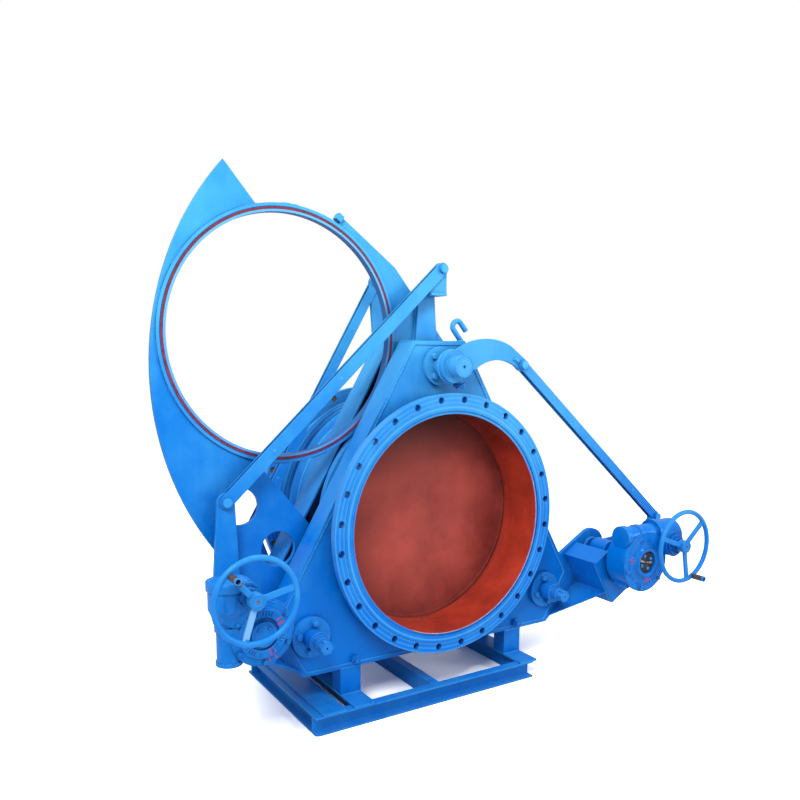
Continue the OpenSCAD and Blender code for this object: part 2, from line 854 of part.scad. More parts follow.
// Channel section, with its flat back on +Y and its flanges reaching to y = 0.
module channel_section() {
    difference() {
        square([channel_w, channel_h]);
        translate([-1, channel_flange]) square([channel_w - channel_web + 1, channel_h - 2 * channel_flange]);
    }
}

// Channel along X from x0 to x1.
module channel_x(x0, x1) {
    translate([x0, 0, 0]) rotate([90, 0, 90]) linear_extrude(height = x1 - x0) channel_section();
}

base_in_y0 = base_y0 + channel_w;
base_in_y1 = base_y1 - channel_w;

module base_front_rail() {
    color(blue) difference() {
        translate([0, base_y0, 0]) channel_x(base_x0, base_x1);
        translate([0, 0, -1]) linear_extrude(height = 20)
            polygon([[base_x0 - 1, base_y0 - 1], [base_x0 + 17, base_y0 - 1], [base_x0 - 1, base_y0 + 10]]);
    }
}

module base_rear_rail() {
    color(blue) translate([0, base_y1, 0]) mirror([0, 1, 0]) channel_x(base_x0, base_x1);
}

module base_left_rail() {
    color(blue) translate([base_x0, 0, 0]) rotate([0, 0, 90]) mirror([0, 1, 0]) channel_x(base_in_y0, base_in_y1);
}

module base_right_rail() {
    color(blue) translate([base_x1, 0, 0]) rotate([0, 0, 90]) channel_x(base_in_y0, base_in_y1);
}

module base_cross_rails() {
    color(blue) for (x = [-45, -408])
        translate([x, 0, 0]) rotate([0, 0, 90]) channel_x(base_in_y0, base_in_y1);
}

pads = [[-656, -547], [-508, -408], [408, 508]];

module base_pads() {
    color(blue) for (p = pads)
        translate([p[0], base_y0, channel_h]) cube([p[1] - p[0], base_y1 - base_y0, pad_t]);
}

post_x0 = 408;
post_w = 100;
post_d = 80;

// Four posts that carry the body halves on the base.
module support_posts() {
    post_z0 = channel_h + pad_t;
    post_z1 = axis_h + body_z - side_r;
    color(blue) for (x = [-post_x0 - post_w, post_x0], y = [front_y0, rear_y1 - post_d])
        translate([x, y, post_z0]) cube([post_w, post_d, post_z1 - post_z0]);
}

base_front_rail();
base_rear_rail();
base_left_rail();
base_right_rail();
base_cross_rails();
base_pads();
support_posts();
front_flange();
front_pipe();
front_plate();
front_walls();
rear_walls();
rear_plate();
rear_pipe();
bellows();
rear_flange();
front_bushes();
rear_bushes();
guide_rods();
lifting_hooks();
left_bracket();
left_gearbox();
left_gear_cover();
right_bracket();
right_gearbox();
right_gear_cover();
sector_web();
port_ring();
blind_disc();
sector_seals();
sector_crank();
drive_lever();
drive_rod();
left_handwheel();
clamp_arm();
top_screw();
rear_bell_crank();
clamp_rod();
clamp_crank();
right_handwheel();
left_screw();
right_screw();
left_rear_rod();
right_rear_rod();
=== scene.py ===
# %% [markdown]
# # A swing-plate blind valve in painted plate steel
# The construction model gives every plate, pin and bore its place and size. This lesson dresses
# that model: brushed blue enamel on plate and castings, red primer in the bore, and the small
# things that make steelwork look made, such as weld beads, bolts, pins and worn edges.

import json
import math
import random

import bmesh
import bpy
import numpy as np
from mathutils import Matrix, Vector
from mathutils.geometry import convex_hull_2d


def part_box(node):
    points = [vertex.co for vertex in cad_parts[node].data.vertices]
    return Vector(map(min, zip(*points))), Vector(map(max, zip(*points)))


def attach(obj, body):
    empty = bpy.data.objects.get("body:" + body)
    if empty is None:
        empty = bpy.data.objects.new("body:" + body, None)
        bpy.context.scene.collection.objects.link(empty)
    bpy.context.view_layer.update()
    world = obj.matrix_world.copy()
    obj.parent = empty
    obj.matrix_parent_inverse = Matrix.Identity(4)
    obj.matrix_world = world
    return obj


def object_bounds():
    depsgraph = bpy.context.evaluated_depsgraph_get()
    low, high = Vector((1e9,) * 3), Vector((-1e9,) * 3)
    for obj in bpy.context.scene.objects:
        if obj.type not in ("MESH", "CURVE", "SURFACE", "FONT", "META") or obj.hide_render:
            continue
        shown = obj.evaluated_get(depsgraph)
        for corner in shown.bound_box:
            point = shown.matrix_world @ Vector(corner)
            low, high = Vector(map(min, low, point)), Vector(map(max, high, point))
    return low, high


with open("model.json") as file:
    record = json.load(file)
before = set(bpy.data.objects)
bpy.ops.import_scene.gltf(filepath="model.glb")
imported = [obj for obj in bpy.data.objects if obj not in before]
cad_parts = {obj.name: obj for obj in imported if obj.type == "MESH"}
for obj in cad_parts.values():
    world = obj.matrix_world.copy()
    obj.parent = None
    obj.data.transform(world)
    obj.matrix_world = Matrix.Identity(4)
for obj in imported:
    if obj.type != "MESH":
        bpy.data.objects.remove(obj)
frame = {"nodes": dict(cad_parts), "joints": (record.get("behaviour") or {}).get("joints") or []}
cad_box = [list(corner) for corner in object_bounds()]

# %% [markdown]
# ## Where things are
# Every new piece is placed from the model itself: pivots come from its joints and faces from the
# boxes of its nodes. Sizes are written in millimetres, as on a workshop drawing, and turned into
# metres at the last moment. Angles are read from the front, counterclockwise from the right.

# %% Pivots and faces
MM = 0.001
FRONT, REAR, UP = (0, -1, 0), (0, 1, 0), (0, 0, 1)
spot = {joint["name"]: np.array(joint["pos_m"]) for joint in frame["joints"]}
pivot, left_screw, right_screw = (spot[name] for name in
                                  ("sector_swing", "left_screw_turn", "right_screw_turn"))
left_shaft, right_shaft = spot["lever_turn"], spot["clamp_crank_turn"]
left_wheel, right_wheel = spot["left_wheel_turn"], spot["right_wheel_turn"]
flange_low, flange_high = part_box("front_flange")
bore = np.array([flange_low.x + flange_high.x, 0, flange_low.z + flange_high.z]) / 2


def directions(angle):
    """The outward and the counterclockwise direction at an angle."""
    c, s = math.cos(math.radians(angle)), math.sin(math.radians(angle))
    return np.array([c, 0, s]), np.array([-s, 0, c])


def put(centre, angle, radius, y):
    """The point at a radius and an angle about a centre, on the plane y. Lengths in mm."""
    out = radius * MM * directions(angle)[0]
    return np.array([centre[0] + out[0], y * MM, centre[2] + out[2]])


def on_axis(centre, y):
    """The point on a front-to-back axis where it meets the plane y, in mm."""
    return put(centre, 0, 0, y)


def face(node, side=FRONT):
    """The plane, in mm, of a node's front or rear face."""
    low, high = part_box(node)
    return (low.y if side == FRONT else high.y) / MM


plate_y, back_plate_y = face("front_plate"), face("rear_plate", REAR)
print("bore axis", bore, "pivot", pivot)

# %% [markdown]
# ## The camera
# A long low view from the left, a little above the flange, shows the round bore and both
# gearboxes. The lens is fixed first, because perspective decides every proportion that follows.

# %% Camera
AZIMUTH, ELEVATION, ROLL = (math.radians(angle) for angle in (-31.05, 7.09, 0.09))
CAMERA_AT = (-1.9977, -2.7356, 1.5741)
backward = Vector((math.sin(AZIMUTH) * math.cos(ELEVATION), -math.cos(AZIMUTH) * math.cos(ELEVATION),
                   math.sin(ELEVATION)))
rightward = Vector(UP).cross(backward).normalized()
upward = backward.cross(rightward)
lens = bpy.data.cameras.new("studio_camera")
lens.sensor_width, lens.lens = 36, 34.6275
lens.shift_x, lens.shift_y = 0.01875, 0.0611
camera = bpy.data.objects.new("studio_camera", lens)
camera.matrix_world = (Matrix.Translation(CAMERA_AT)
                       @ Matrix((rightward, upward, backward)).transposed().to_4x4()
                       @ Matrix.Rotation(ROLL, 4, "Z"))
scene = bpy.context.scene
scene.collection.objects.link(camera)
scene.camera = camera
print("camera at", camera.location)

# %% [markdown]
# ## Small tools for shader nodes
# Node trees are quicker to read as short lines of code than as long lists of links. `connect` sets
# a socket when it is given a plain value and links it when it is given another node's output. The
# other tools add one node each, in the tree that their inputs belong to.

# %% Node helpers
def connect(sockets, values):
    """Sets each socket to a plain value, or links it to another node's output."""
    for key, value in values.items():
        if isinstance(value, bpy.types.NodeSocket):
            value.id_data.links.new(value, sockets[key])
        else:
            sockets[key].default_value = value


def tree_of(*values):
    """The node tree of the first node output among some values."""
    return next(value.id_data for value in values if isinstance(value, bpy.types.NodeSocket))


def add(tree, kind, inputs=None, **settings):
    """Adds a shader node, sets its properties and inputs, and returns its outputs."""
    made = tree.nodes.new("ShaderNode" + kind)
    for key, value in settings.items():
        setattr(made, key, value)
    connect(made.inputs, inputs or {})
    return made.outputs


def calc(operation, a, b, clamp=False):
    return add(tree_of(a, b), "Math", {0: a, 1: b}, operation=operation, use_clamp=clamp)[0]


def plus(a, b, clamp=False):
    return calc("ADD", a, b, clamp)


def minus(a, b):
    return calc("SUBTRACT", a, b)


def times(a, b, clamp=False):
    return calc("MULTIPLY", a, b, clamp)


def centred(value, amount):
    """A value of about a half, turned into a drift either side of nothing."""
    return times(minus(value, 0.5), amount)


def vector(operation, a, b=(0, 0, 0)):
    """Vector arithmetic. A distance, a length and a dot product come out as a number."""
    plain = operation in ("DISTANCE", "LENGTH", "DOT_PRODUCT")
    made = add(tree_of(a, b), "VectorMath", {0: a, 1: b}, operation=operation)
    return made["Value" if plain else "Vector"]


def along(direction, of):
    return add(of.id_data, "SeparateXYZ", {0: of})[direction]


def mixed(factor, a, b, blend="MIX"):
    """Mixes two colours. A factor of 0 gives a and a factor of 1 gives b."""
    return add(tree_of(factor, a, b), "Mix", {0: factor, 6: a, 7: b}, data_type="RGBA",
               blend_type=blend)[2]


def washed(colour, mask, strength, tone):
    """Lays a tone over a colour where the mask is, at a strength from 0 to 1."""
    return mixed(times(mask, strength), colour, tone)


def spread(value, low, high, to_low=0.0, to_high=1.0):
    """Stretches the range low to high over to_low to to_high, and clamps the ends."""
    return add(value.id_data, "MapRange", {0: value, 1: low, 2: high, 3: to_low, 4: to_high})[0]


def noise(coords, scale, detail=2.0, roughness=0.5):
    return add(coords.id_data, "TexNoise", {"Vector": coords, "Scale": scale, "Detail": detail,
                                            "Roughness": roughness})[0]


def stretched(coords, scale):
    return add(coords.id_data, "Mapping", {"Vector": coords, "Scale": scale})[0]


def place(tree):
    """The point on the surface in the model's own metres. It moves with its body."""
    return add(tree, "TexCoord")["Object"]


def srgb(red, green, blue):
    """A colour as a paint chart gives it, 0 to 255, in the linear values that shaders use."""
    def linear(c):
        return c / 12.92 if c <= 0.04045 else ((c + 0.055) / 1.055) ** 2.4
    return (*(linear(c / 255) for c in (red, green, blue)), 1.0)


print("enamel in linear values:", srgb(20, 120, 225))

# %% Empty node groups with named sockets
SOCKETS = {"colour": "NodeSocketColor", "value": "NodeSocketFloat", "vector": "NodeSocketVector"}


def new_group(name, inputs, outputs):
    """A node group. inputs is {name: (kind, default)} and outputs is {name: kind}."""
    group = bpy.data.node_groups.new(name, "ShaderNodeTree")
    for key, (kind, default) in inputs.items():
        socket = group.interface.new_socket(name=key, in_out="INPUT", socket_type=SOCKETS[kind])
        socket.default_value = default
    for key, kind in outputs.items():
        group.interface.new_socket(name=key, in_out="OUTPUT", socket_type=SOCKETS[kind])
    print("group:", name)
    return (group, group.nodes.new("NodeGroupInput").outputs,
            group.nodes.new("NodeGroupOutput").inputs, place(group))


def use(tree, name, **values):
    """Places a group in a tree and sets its inputs. Returns its outputs."""
    made = tree.nodes.new("ShaderNodeGroup")
    made.node_tree = bpy.data.node_groups[name]
    connect(made.inputs, values)
    return made.outputs


# %% [markdown]
# ## Brushed enamel and painted light
# The valve is coated by brush. The paint lies thick here and thin there, so its blue drifts
# between a deep and a pale shade in soft patches. On top of that the blue is painted paler towards the
# top and deeper towards the bottom, a painted light as if most light fell from above. The bristles
# leave faint streaks, and the film has a fine skin like orange peel. Noise at four sizes in the
# model's own metres gives the patches, streaks and skin without any unwrapping.

# %% Group: brushed enamel and painted light
PALE_BLUE, DEEP_BLUE = srgb(68, 168, 228), srgb(0, 112, 208)
PAINTED_LIGHT_FROM, PAINTED_LIGHT_TO = 0.55, 2.1
_, given, out, where = new_group(
    "Brushed enamel",
    {"Pale": ("colour", PALE_BLUE), "Deep": ("colour", DEEP_BLUE), "Foot": ("value", PAINTED_LIGHT_FROM),
     "Top": ("value", PAINTED_LIGHT_TO), "Patches": ("value", 0.5)},
    {"Color": "colour", "Roughness": "value", "Height": "value"})
patches, clouds = noise(where, 2.1, 3.0), noise(where, 11.0, 4.0, 0.6)
streaks, peel = noise(stretched(where, (34, 34, 5)), 1.0, 3.0), noise(where, 260.0, 1.0)
# Painted light: the blue runs from deep at Foot to pale at Top, as if lit from above.
shade = spread(along("Z", where), given["Foot"], given["Top"])
shade = plus(shade, times(centred(patches, given["Patches"]), 1.6))
shade = plus(plus(shade, centred(clouds, 0.42)), centred(streaks, 0.24), True)
connect(out, {"Color": mixed(shade, given["Deep"], given["Pale"]),
              "Roughness": spread(clouds, 0.3, 0.7, 0.26, 0.44),
              "Height": plus(times(streaks, 0.7), times(peel, 0.3))})

# %% [markdown]
# ## Worn edges with painted highlights, and corners with grime and painted shade
# Paint pulls away from sharp edges as it dries and is rubbed there in use, so edges show paler and
# rounder. Their paler colour is also a painted highlight, as if the edges caught the light. The Bevel
# node gives a softened normal. Where it differs from the true normal there is an edge, and a little
# noise breaks the line up. Corners do the opposite: they hold dust and get less paint, and they are
# also painted darker as painted shade, where less light reaches. Ambient occlusion finds them.

# %% Groups: edge wear and highlight, corner grime and shade
edge_tree, given, out, where = new_group("Edge rub", {"Width": ("value", 0.003), "Breakup": ("value", 45.0)},
                                   {"Mask": "value", "Normal": "vector"})
softened = add(edge_tree, "Bevel", {"Radius": given["Width"]}, samples=4)[0]
agreement = vector("DOT_PRODUCT", softened, add(edge_tree, "NewGeometry")["Normal"])
broken = spread(noise(where, given["Breakup"], 3.0), 0.38, 0.60, 0.25, 1.0)
connect(out, {"Mask": times(spread(agreement, 0.985, 0.80), broken), "Normal": softened})

# Grime and painted shade: ambient occlusion darkens corners and hollows.
grime_shade_tree, given, out, where = new_group("Corner grime", {"Reach": ("value", 0.05)}, {"Mask": "value"})
openness = add(grime_shade_tree, "AmbientOcclusion", {"Distance": given["Reach"]}, samples=6)["AO"]
smudge = spread(noise(where, 23.0, 3.0), 0.3, 0.7, 0.55, 1.0)
connect(out, {"Mask": times(spread(openness, 0.85, 0.30), smudge)})

# %% [markdown]
# ## Zones and rings about an axis
# Two finishes follow a circle. The bore is red inside a given radius and blue outside, and a face
# that came off a lathe carries fine rings. Both start from the distance to an axis that runs from
# front to back, so one small helper measures it and two groups use it. A patch about a point, worn
# bare in one place and a painted glint in another, is the same idea.

# %% Groups: round zone, turning rings and patch of wear and glint
NO_CENTRE = ("vector", (0, 0, 0))


def axis_distance(where, centre):
    """Distance of the surface from the front-to-back line through a centre."""
    return vector("LENGTH", vector("MULTIPLY", vector("SUBTRACT", where, centre), (1, 0, 1)))


_, given, out, where = new_group("Round zone", {"Centre": NO_CENTRE, "Radius": ("value", 0.5),
                                                "Wobble": ("value", 0.0)}, {"Mask": "value"})
reached = plus(axis_distance(where, given["Centre"]), centred(noise(where, 30.0), given["Wobble"]))
connect(out, {"Mask": spread(minus(given["Radius"], reached), -0.0003, 0.0003)})

rings, given, out, where = new_group("Turning rings", {"Centre": NO_CENTRE, "Pitch": ("value", 0.004)},
                                     {"Height": "value"})
turns = calc("DIVIDE", axis_distance(where, given["Centre"]), given["Pitch"])
wave = calc("SINE", times(turns, math.tau), 0.0)
uneven = noise(add(rings, "CombineXYZ", {0: turns})[0], 0.7, 2.0)
connect(out, {"Height": plus(times(wave, 0.3), uneven)})

_, given, out, where = new_group("Worn patch", {"Centre": NO_CENTRE, "Radius": ("value", 0.06)},
                                 {"Mask": "value"})
reached = plus(vector("DISTANCE", where, given["Centre"]), centred(noise(where, 70.0, 4.0), 0.05))
connect(out, {"Mask": spread(minus(given["Radius"], reached), -0.002, 0.002)})

# %% [markdown]
# ## Inside the body
# The inside of the two boxes is painted near black as painted shade, so the gap where the sector
# swings looks shadowed. The body is a triangle with cut corners, so a point lies inside when it is
# on the inner side of six planes and between the two face plates.

# %% Group: inside the body
DARK_Y = (plate_y * MM + 0.004, back_plate_y * MM - 0.004)
INNER_SIDE, INNER_CUT = 0.547, 0.858
_, given, out, where = new_group("Inside the body", {"Centre": NO_CENTRE, "Front": ("value", 0.1),
                                                     "Back": ("value", 0.4)}, {"Mask": "value"})
offset = vector("SUBTRACT", where, given["Centre"])
farthest = None
for k in range(6):
    distance = vector("DOT_PRODUCT", offset, directions(30 + 60 * k)[0].tolist())
    past = minus(distance, INNER_CUT if k % 2 else INNER_SIDE)
    farthest = past if farthest is None else calc("MAXIMUM", farthest, past)
depth = along("Y", where)
within = times(calc("GREATER_THAN", depth, given["Front"]), calc("LESS_THAN", depth, given["Back"]))
connect(out, {"Mask": times(calc("LESS_THAN", farthest, 0.0), within)})

# %% [markdown]
# ## Dust and rust
# Dust settles on whatever faces up, most of all on the base's lower flanges near the floor. Rust
# starts in spots where the film is thin. Each is a mask that a material mixes over its paint.

# %% Groups: settled dust and rust spots
dust, given, out, where = new_group("Settled dust", {"Above": ("value", 0.0), "Below": ("value", 3.0)},
                                    {"Mask": "value"})
lying, level = spread(along("Z", add(dust, "NewGeometry")["Normal"]), 0.75, 0.98), along("Z", where)
lying = times(lying, calc("LESS_THAN", level, given["Below"]))
lying = times(lying, calc("GREATER_THAN", level, given["Above"]))
connect(out, {"Mask": times(lying, spread(noise(where, 16.0, 5.0), 0.32, 0.62))})

_, given, out, where = new_group("Rust spots", {"Scale": ("value", 30.0), "Amount": ("value", 0.4)},
                                 {"Mask": "value"})
threshold = minus(0.86, times(given["Amount"], 0.5))
connect(out, {"Mask": times(minus(noise(where, given["Scale"], 6.0, 0.65), threshold), 14.0, True)})

# %% [markdown]
# ## The blue enamels
# One recipe makes every blue part: brushed enamel with painted light from above, paler edges that
# are partly wear and partly painted highlight, and darker corners that are partly grime and partly
# painted shade. Its options add what a part needs on top, such as the coarse skin of a casting, lathe
# rings on a turned face, a red inside, or dust. The gloss is set on the shader itself, since it is the
# same all over.

# %% Start and end of a finish
def new_finish(name):
    """A new material, its node tree, its shader and the point on the surface."""
    print("finish:", name)
    material = bpy.data.materials.new(name)
    material.use_nodes = True
    tree = material.node_tree
    return material, tree, tree.nodes["Principled BSDF"], place(tree)


def complete(shader, colour, roughness, height, strength, distance, normal, specular, **constants):
    """Feeds a shader with its colour, its roughness, its relief and its constants."""
    relief = add(height.id_data, "Bump", {"Height": height, "Strength": strength, "Distance": distance,
                                          "Normal": normal})[0]
    connect(shader.inputs, {"Base Color": colour, "Roughness": roughness, "Normal": relief,
                            "Specular IOR Level": specular, **constants})


# %% Recipe for a painted part
SHEEN_BLUE = (0.30, 0.66, 1.0, 1.0)
HIGHLIGHT_AND_WEAR_BLUE, GRIME_AND_SHADE_BLUE, BORE_SHADE_BLUE = srgb(112, 198, 250), srgb(0, 46, 112), srgb(0, 62, 140)
INNER_BAND_BLUE, GLINT_BLUE, GAP_SHADE_BLACK = srgb(150, 205, 245), srgb(150, 200, 240), srgb(6, 22, 52)
OXIDE, OXIDE_DARK, CORNER_OXIDE_AND_SHADE, BORE_TOP_SHADE = (srgb(*tone) for tone in
                                         ((196, 66, 42), (140, 42, 30), (60, 20, 18), (56, 20, 20)))
DUST, RUST, BROWN, DARK_BROWN = (srgb(*tone) for tone in
                                 ((92, 92, 132), (104, 58, 34), (112, 92, 82), (48, 36, 36)))
BORE_SHADE_FROM, BORE_SHADE_TO = 0.28, 0.5


def coat(name, cast=0.0, turned=None, pitch=0.004, red_inside=None, pale_inside=None, bore_shade_inside=None,
         shaded_inside=False, bare=(), pale=(), dusty=0.0, rusty=0.0, grime_and_shade_amount=0.75, patches=0.9, lift=0.0,
         gloss=0.0, bump=0.35):
    """A painted steel finish. turned is the centre of lathe rings. red_inside, pale_inside and the zone
    after them each give a centre and a radius within which the paint is red, pale or dark; the dark is
    painted shade on a bore. The flag after them paints the inside of the body near black as painted
    shade. bare lists the centres and radii of bare patches, and pale those of pale patches, which are
    painted glints. lift moves the painted light from above towards pale, the grime amount sets the
    corner grime and painted shade, and gloss makes the film smoother."""
    def within(circle, wobble):
        return use(tree, "Round zone", Centre=circle[0], Radius=circle[1], Wobble=wobble)["Mask"]

    material, tree, shader, here = new_finish(name)
    # Painted light from above, moved towards pale by lift.
    film = use(tree, "Brushed enamel", Pale=PALE_BLUE, Deep=DEEP_BLUE, Foot=PAINTED_LIGHT_FROM - lift,
               Top=PAINTED_LIGHT_TO - lift, Patches=patches)
    worn_and_lit_edge = use(tree, "Edge rub", Width=0.003 + 0.002 * cast)
    grime_and_shade = use(tree, "Corner grime", Reach=0.10)["Mask"]
    colour, height = film["Color"], film["Height"]
    if pale_inside:
        colour = washed(colour, within(pale_inside, 0.001), 0.3, INNER_BAND_BLUE)
    # Wear and painted highlight: the edges are washed paler.
    colour = washed(colour, worn_and_lit_edge["Mask"], 0.45, HIGHLIGHT_AND_WEAR_BLUE)
    # Painted highlight: the crests of the lathe rings are tinted pale, as if they caught the light.
    if turned is not None:
        lathe_marks = use(tree, "Turning rings", Centre=tuple(turned), Pitch=pitch)["Height"]
        colour = mixed(spread(lathe_marks, 0.45, 0.95, 0.0, 0.36), colour, HIGHLIGHT_AND_WEAR_BLUE)
    # Painted glints: pale patches stand for light caught on a flat part.
    for centre, radius in pale:
        glint = use(tree, "Worn patch", Centre=tuple(centre), Radius=radius)["Mask"]
        colour = washed(colour, glint, 0.55, GLINT_BLUE)
    # Grime and painted shade: corners and hollows are washed darker.
    colour = washed(colour, grime_and_shade, grime_and_shade_amount, GRIME_AND_SHADE_BLUE)
    for centre, radius in bare:
        metal = mixed(spread(noise(here, 90.0, 4.0), 0.35, 0.65), DARK_BROWN, BROWN)
        colour = mixed(use(tree, "Worn patch", Centre=tuple(centre), Radius=radius)["Mask"], colour, metal)
    # Painted shade: the bore of the ring is painted dark.
    if bore_shade_inside:
        colour = washed(colour, within(bore_shade_inside, 0.0004), 0.8, BORE_SHADE_BLUE)
    # Painted shade: the inside of the body goes near black.
    if shaded_inside:
        hollow = use(tree, "Inside the body", Centre=(bore[0], 0, bore[2] - 0.05), Front=DARK_Y[0],
                     Back=DARK_Y[1])
        colour = mixed(hollow["Mask"], colour, GAP_SHADE_BLACK)
    if red_inside:
        primer = mixed(spread(noise(here, 5.0, 5.0, 0.6), 0.3, 0.72), OXIDE_DARK, OXIDE)
        # Grime and painted shade in the corners of the bore.
        primer = washed(primer, grime_and_shade, 0.5, CORNER_OXIDE_AND_SHADE)
        # Painted shade: the primer darkens towards the top of the bore, shaded from the light above.
        axis_z = red_inside[0][2]
        top_shade = spread(along("Z", here), axis_z + BORE_SHADE_FROM, axis_z + BORE_SHADE_TO)
        primer = washed(primer, top_shade, 0.8, BORE_TOP_SHADE)
        colour = mixed(within(red_inside, 0.0006), colour, primer)
    if dusty:
        colour = washed(colour, use(tree, "Settled dust", Below=0.07)["Mask"], dusty, DUST)
    if rusty:
        colour = mixed(use(tree, "Rust spots", Scale=26.0, Amount=rusty)["Mask"], colour, RUST)
    if cast:
        height = plus(height, times(noise(here, 75.0, 3.0, 0.6), 2.4 * cast))
    if turned is not None:
        height = plus(height, times(lathe_marks, 0.9))
    complete(shader, colour, minus(film["Roughness"], gloss), height, bump, 0.0011, worn_and_lit_edge["Normal"], 0.42,
             **{"Specular Tint": SHEEN_BLUE})
    return material


# %% Blue finishes
# lift moves each part's painted light: the sector is painted a little darker, as if in shade, and the body,
# base, wheels, bolts and welds paler.
blue_plate = coat("enamel_on_plate")
blue_sector = coat("enamel_on_sector", lift=-0.14)
blue_body = coat("enamel_on_body", shaded_inside=True, lift=0.12)
blue_cast = coat("enamel_on_casting", cast=0.5, patches=0.45, gloss=0.10)
blue_base = coat("enamel_on_base", dusty=0.10, rusty=0.2, patches=0.5, lift=0.8, grime_and_shade_amount=0.3)
blue_pipe = coat("enamel_and_primer_on_pipe", red_inside=(tuple(bore), 0.4966), shaded_inside=True)
blue_flange = coat("enamel_on_turned_flange", turned=bore, pitch=0.02)
blue_top_end = coat("enamel_on_top_screw", turned=pivot, pitch=0.011, patches=0.3, gloss=0.08)
blue_left_end = coat("enamel_on_left_screw", turned=left_screw, pitch=0.006, patches=0.3)
blue_right_end = coat("enamel_on_right_screw", turned=right_screw, pitch=0.006, patches=0.3)
# On the left wheel the spoke by the handle is worn bare, and the pale patch on the lower spoke is a painted
# glint.
bare_spoke, spoke_glint = put(left_wheel, 132, 112, -290), put(left_wheel, 252, 84, -290)
blue_left_wheel = coat("enamel_on_left_wheel", cast=0.3, patches=0.6, lift=0.25, rusty=0.12,
                       bare=[(bare_spoke, 0.030)], pale=[(spoke_glint, 0.054)])
blue_wheel = coat("enamel_on_right_wheel", cast=0.3, patches=0.6, lift=0.25, rusty=0.12)
blue_bolt = coat("enamel_on_bolts", patches=0.3, lift=0.5, gloss=0.06, grime_and_shade_amount=0.4)
# Painted highlight: lift 0.9 makes the weld beads paler, as if they caught the light.
blue_weld = coat("enamel_on_welds", patches=0.3, lift=0.9, rusty=0.12, bump=0.6, grime_and_shade_amount=0.12)
# Grime and painted shade: the stitch welds and the set screws under the hub are painted darker.
darkened_weld = coat("enamel_on_stitch_welds", patches=0.6, lift=-0.3, rusty=0.3, bump=0.6, grime_and_shade_amount=0.8)

# %% [markdown]
# ## Ring and disc
# The ring and the disc share one rim. On the ring the narrow inner band beside the seal is
# coloured paler, and the bore inside it is painted dark as painted shade. The disc is primed red
# across its whole face, in broad overlapping strokes. A painted shadow, as if cast by the lip of the
# bore, lies over its upper part, and only its outer rim is blue.

# %% Ring and disc finishes
SWING, ARM = 100.7, 700
ring_centre, disc_centre = put(pivot, 270 - SWING, ARM, 0), put(pivot, 270, ARM, 0)
# The dark band inside the ring is painted shade on its bore; the band beside the seal is coloured paler.
blue_ring = coat("enamel_on_ring", pale_inside=(tuple(ring_centre), 0.5065), turned=ring_centre,
                 pitch=0.005, bore_shade_inside=(tuple(ring_centre), 0.4976))
SHADOW_WAY, SHADOW_FROM, SHADOW_TO = (-0.2, 0, 0.98), 0.30, 0.54


def primer_coat(name, centre, radius):
    """Red primer with darker spots and long runs inside a radius, and blue enamel outside it."""
    material, tree, shader, here = new_finish(name)
    worn_and_lit_edge = use(tree, "Edge rub", Width=0.003)
    grime_and_shade = use(tree, "Corner grime", Reach=0.26)["Mask"]
    film = use(tree, "Brushed enamel", Pale=PALE_BLUE, Deep=DEEP_BLUE, Patches=0.4)
    inner = use(tree, "Round zone", Centre=tuple(centre), Radius=radius, Wobble=0.0015)["Mask"]
    broad, runs = noise(here, 3.2, 4.0, 0.55), noise(stretched(here, (14, 14, 3.4)), 1.0, 4.0)
    tone = plus(times(broad, 0.84), times(runs, 0.16))
    primer = mixed(spread(tone, 0.34, 0.66), srgb(132, 48, 42), srgb(176, 74, 64))
    freckles = use(tree, "Rust spots", Scale=44.0, Amount=0.46)["Mask"]
    primer = washed(primer, freckles, 0.5, srgb(96, 36, 30))
    # Grime and painted shade: the disc darkens near the walls of the bore.
    primer = washed(primer, grime_and_shade, 0.8, srgb(70, 26, 26))
    # Painted shadow: the disc's upper part darkens, as if shaded by the lip of the bore.
    middle = SHADOW_WAY[0] * centre[0] + SHADOW_WAY[2] * centre[2]
    upper_left = plus(vector("DOT_PRODUCT", here, SHADOW_WAY), times(broad, 0.12))
    primer = washed(primer, spread(upper_left, middle + SHADOW_FROM, middle + SHADOW_TO), 0.85,
                    srgb(48, 22, 24))
    rough = mixed(inner, film["Roughness"], spread(broad, 0.3, 0.7, 0.48, 0.66))
    complete(shader, mixed(inner, film["Color"], primer), rough,
             plus(times(runs, 0.6), noise(here, 190.0, 2.0)), 0.3, 0.001, worn_and_lit_edge["Normal"], 0.3)
    return material


red_disc = primer_coat("primer_on_disc", disc_centre, 0.5068)

# %% [markdown]
# ## Rubber, bare metal and paint marks
# A few small finishes remain. The seals are dull red rubber with a moulded bloom. The crank handles
# and the shaft plate behind the window are bare, browned steel, scratched by hand and rag. The
# setting marks on the gear covers are strokes of red paint, and the plugs of the rear flange are wood.

# %% Small finishes
def plain_coat(name, dark, light, scale, rough, metallic=0.0, stretch=(1, 1, 1), specular=0.4):
    """A finish of two mixed tones with its own grain, for small parts."""
    material, tree, shader, here = new_finish(name)
    grain = noise(stretched(here, stretch), scale, 5.0, 0.6)
    worn_and_lit_edge = use(tree, "Edge rub", Width=0.0015)
    # Wear and painted highlight: the edges are washed towards the light tone.
    colour = washed(mixed(spread(grain, 0.32, 0.68), dark, light), worn_and_lit_edge["Mask"], 0.4, light)
    complete(shader, colour, spread(grain, 0.3, 0.7, rough - 0.1, rough + 0.1), grain, 0.25, 0.0006,
             worn_and_lit_edge["Normal"], specular, Metallic=metallic)
    return material


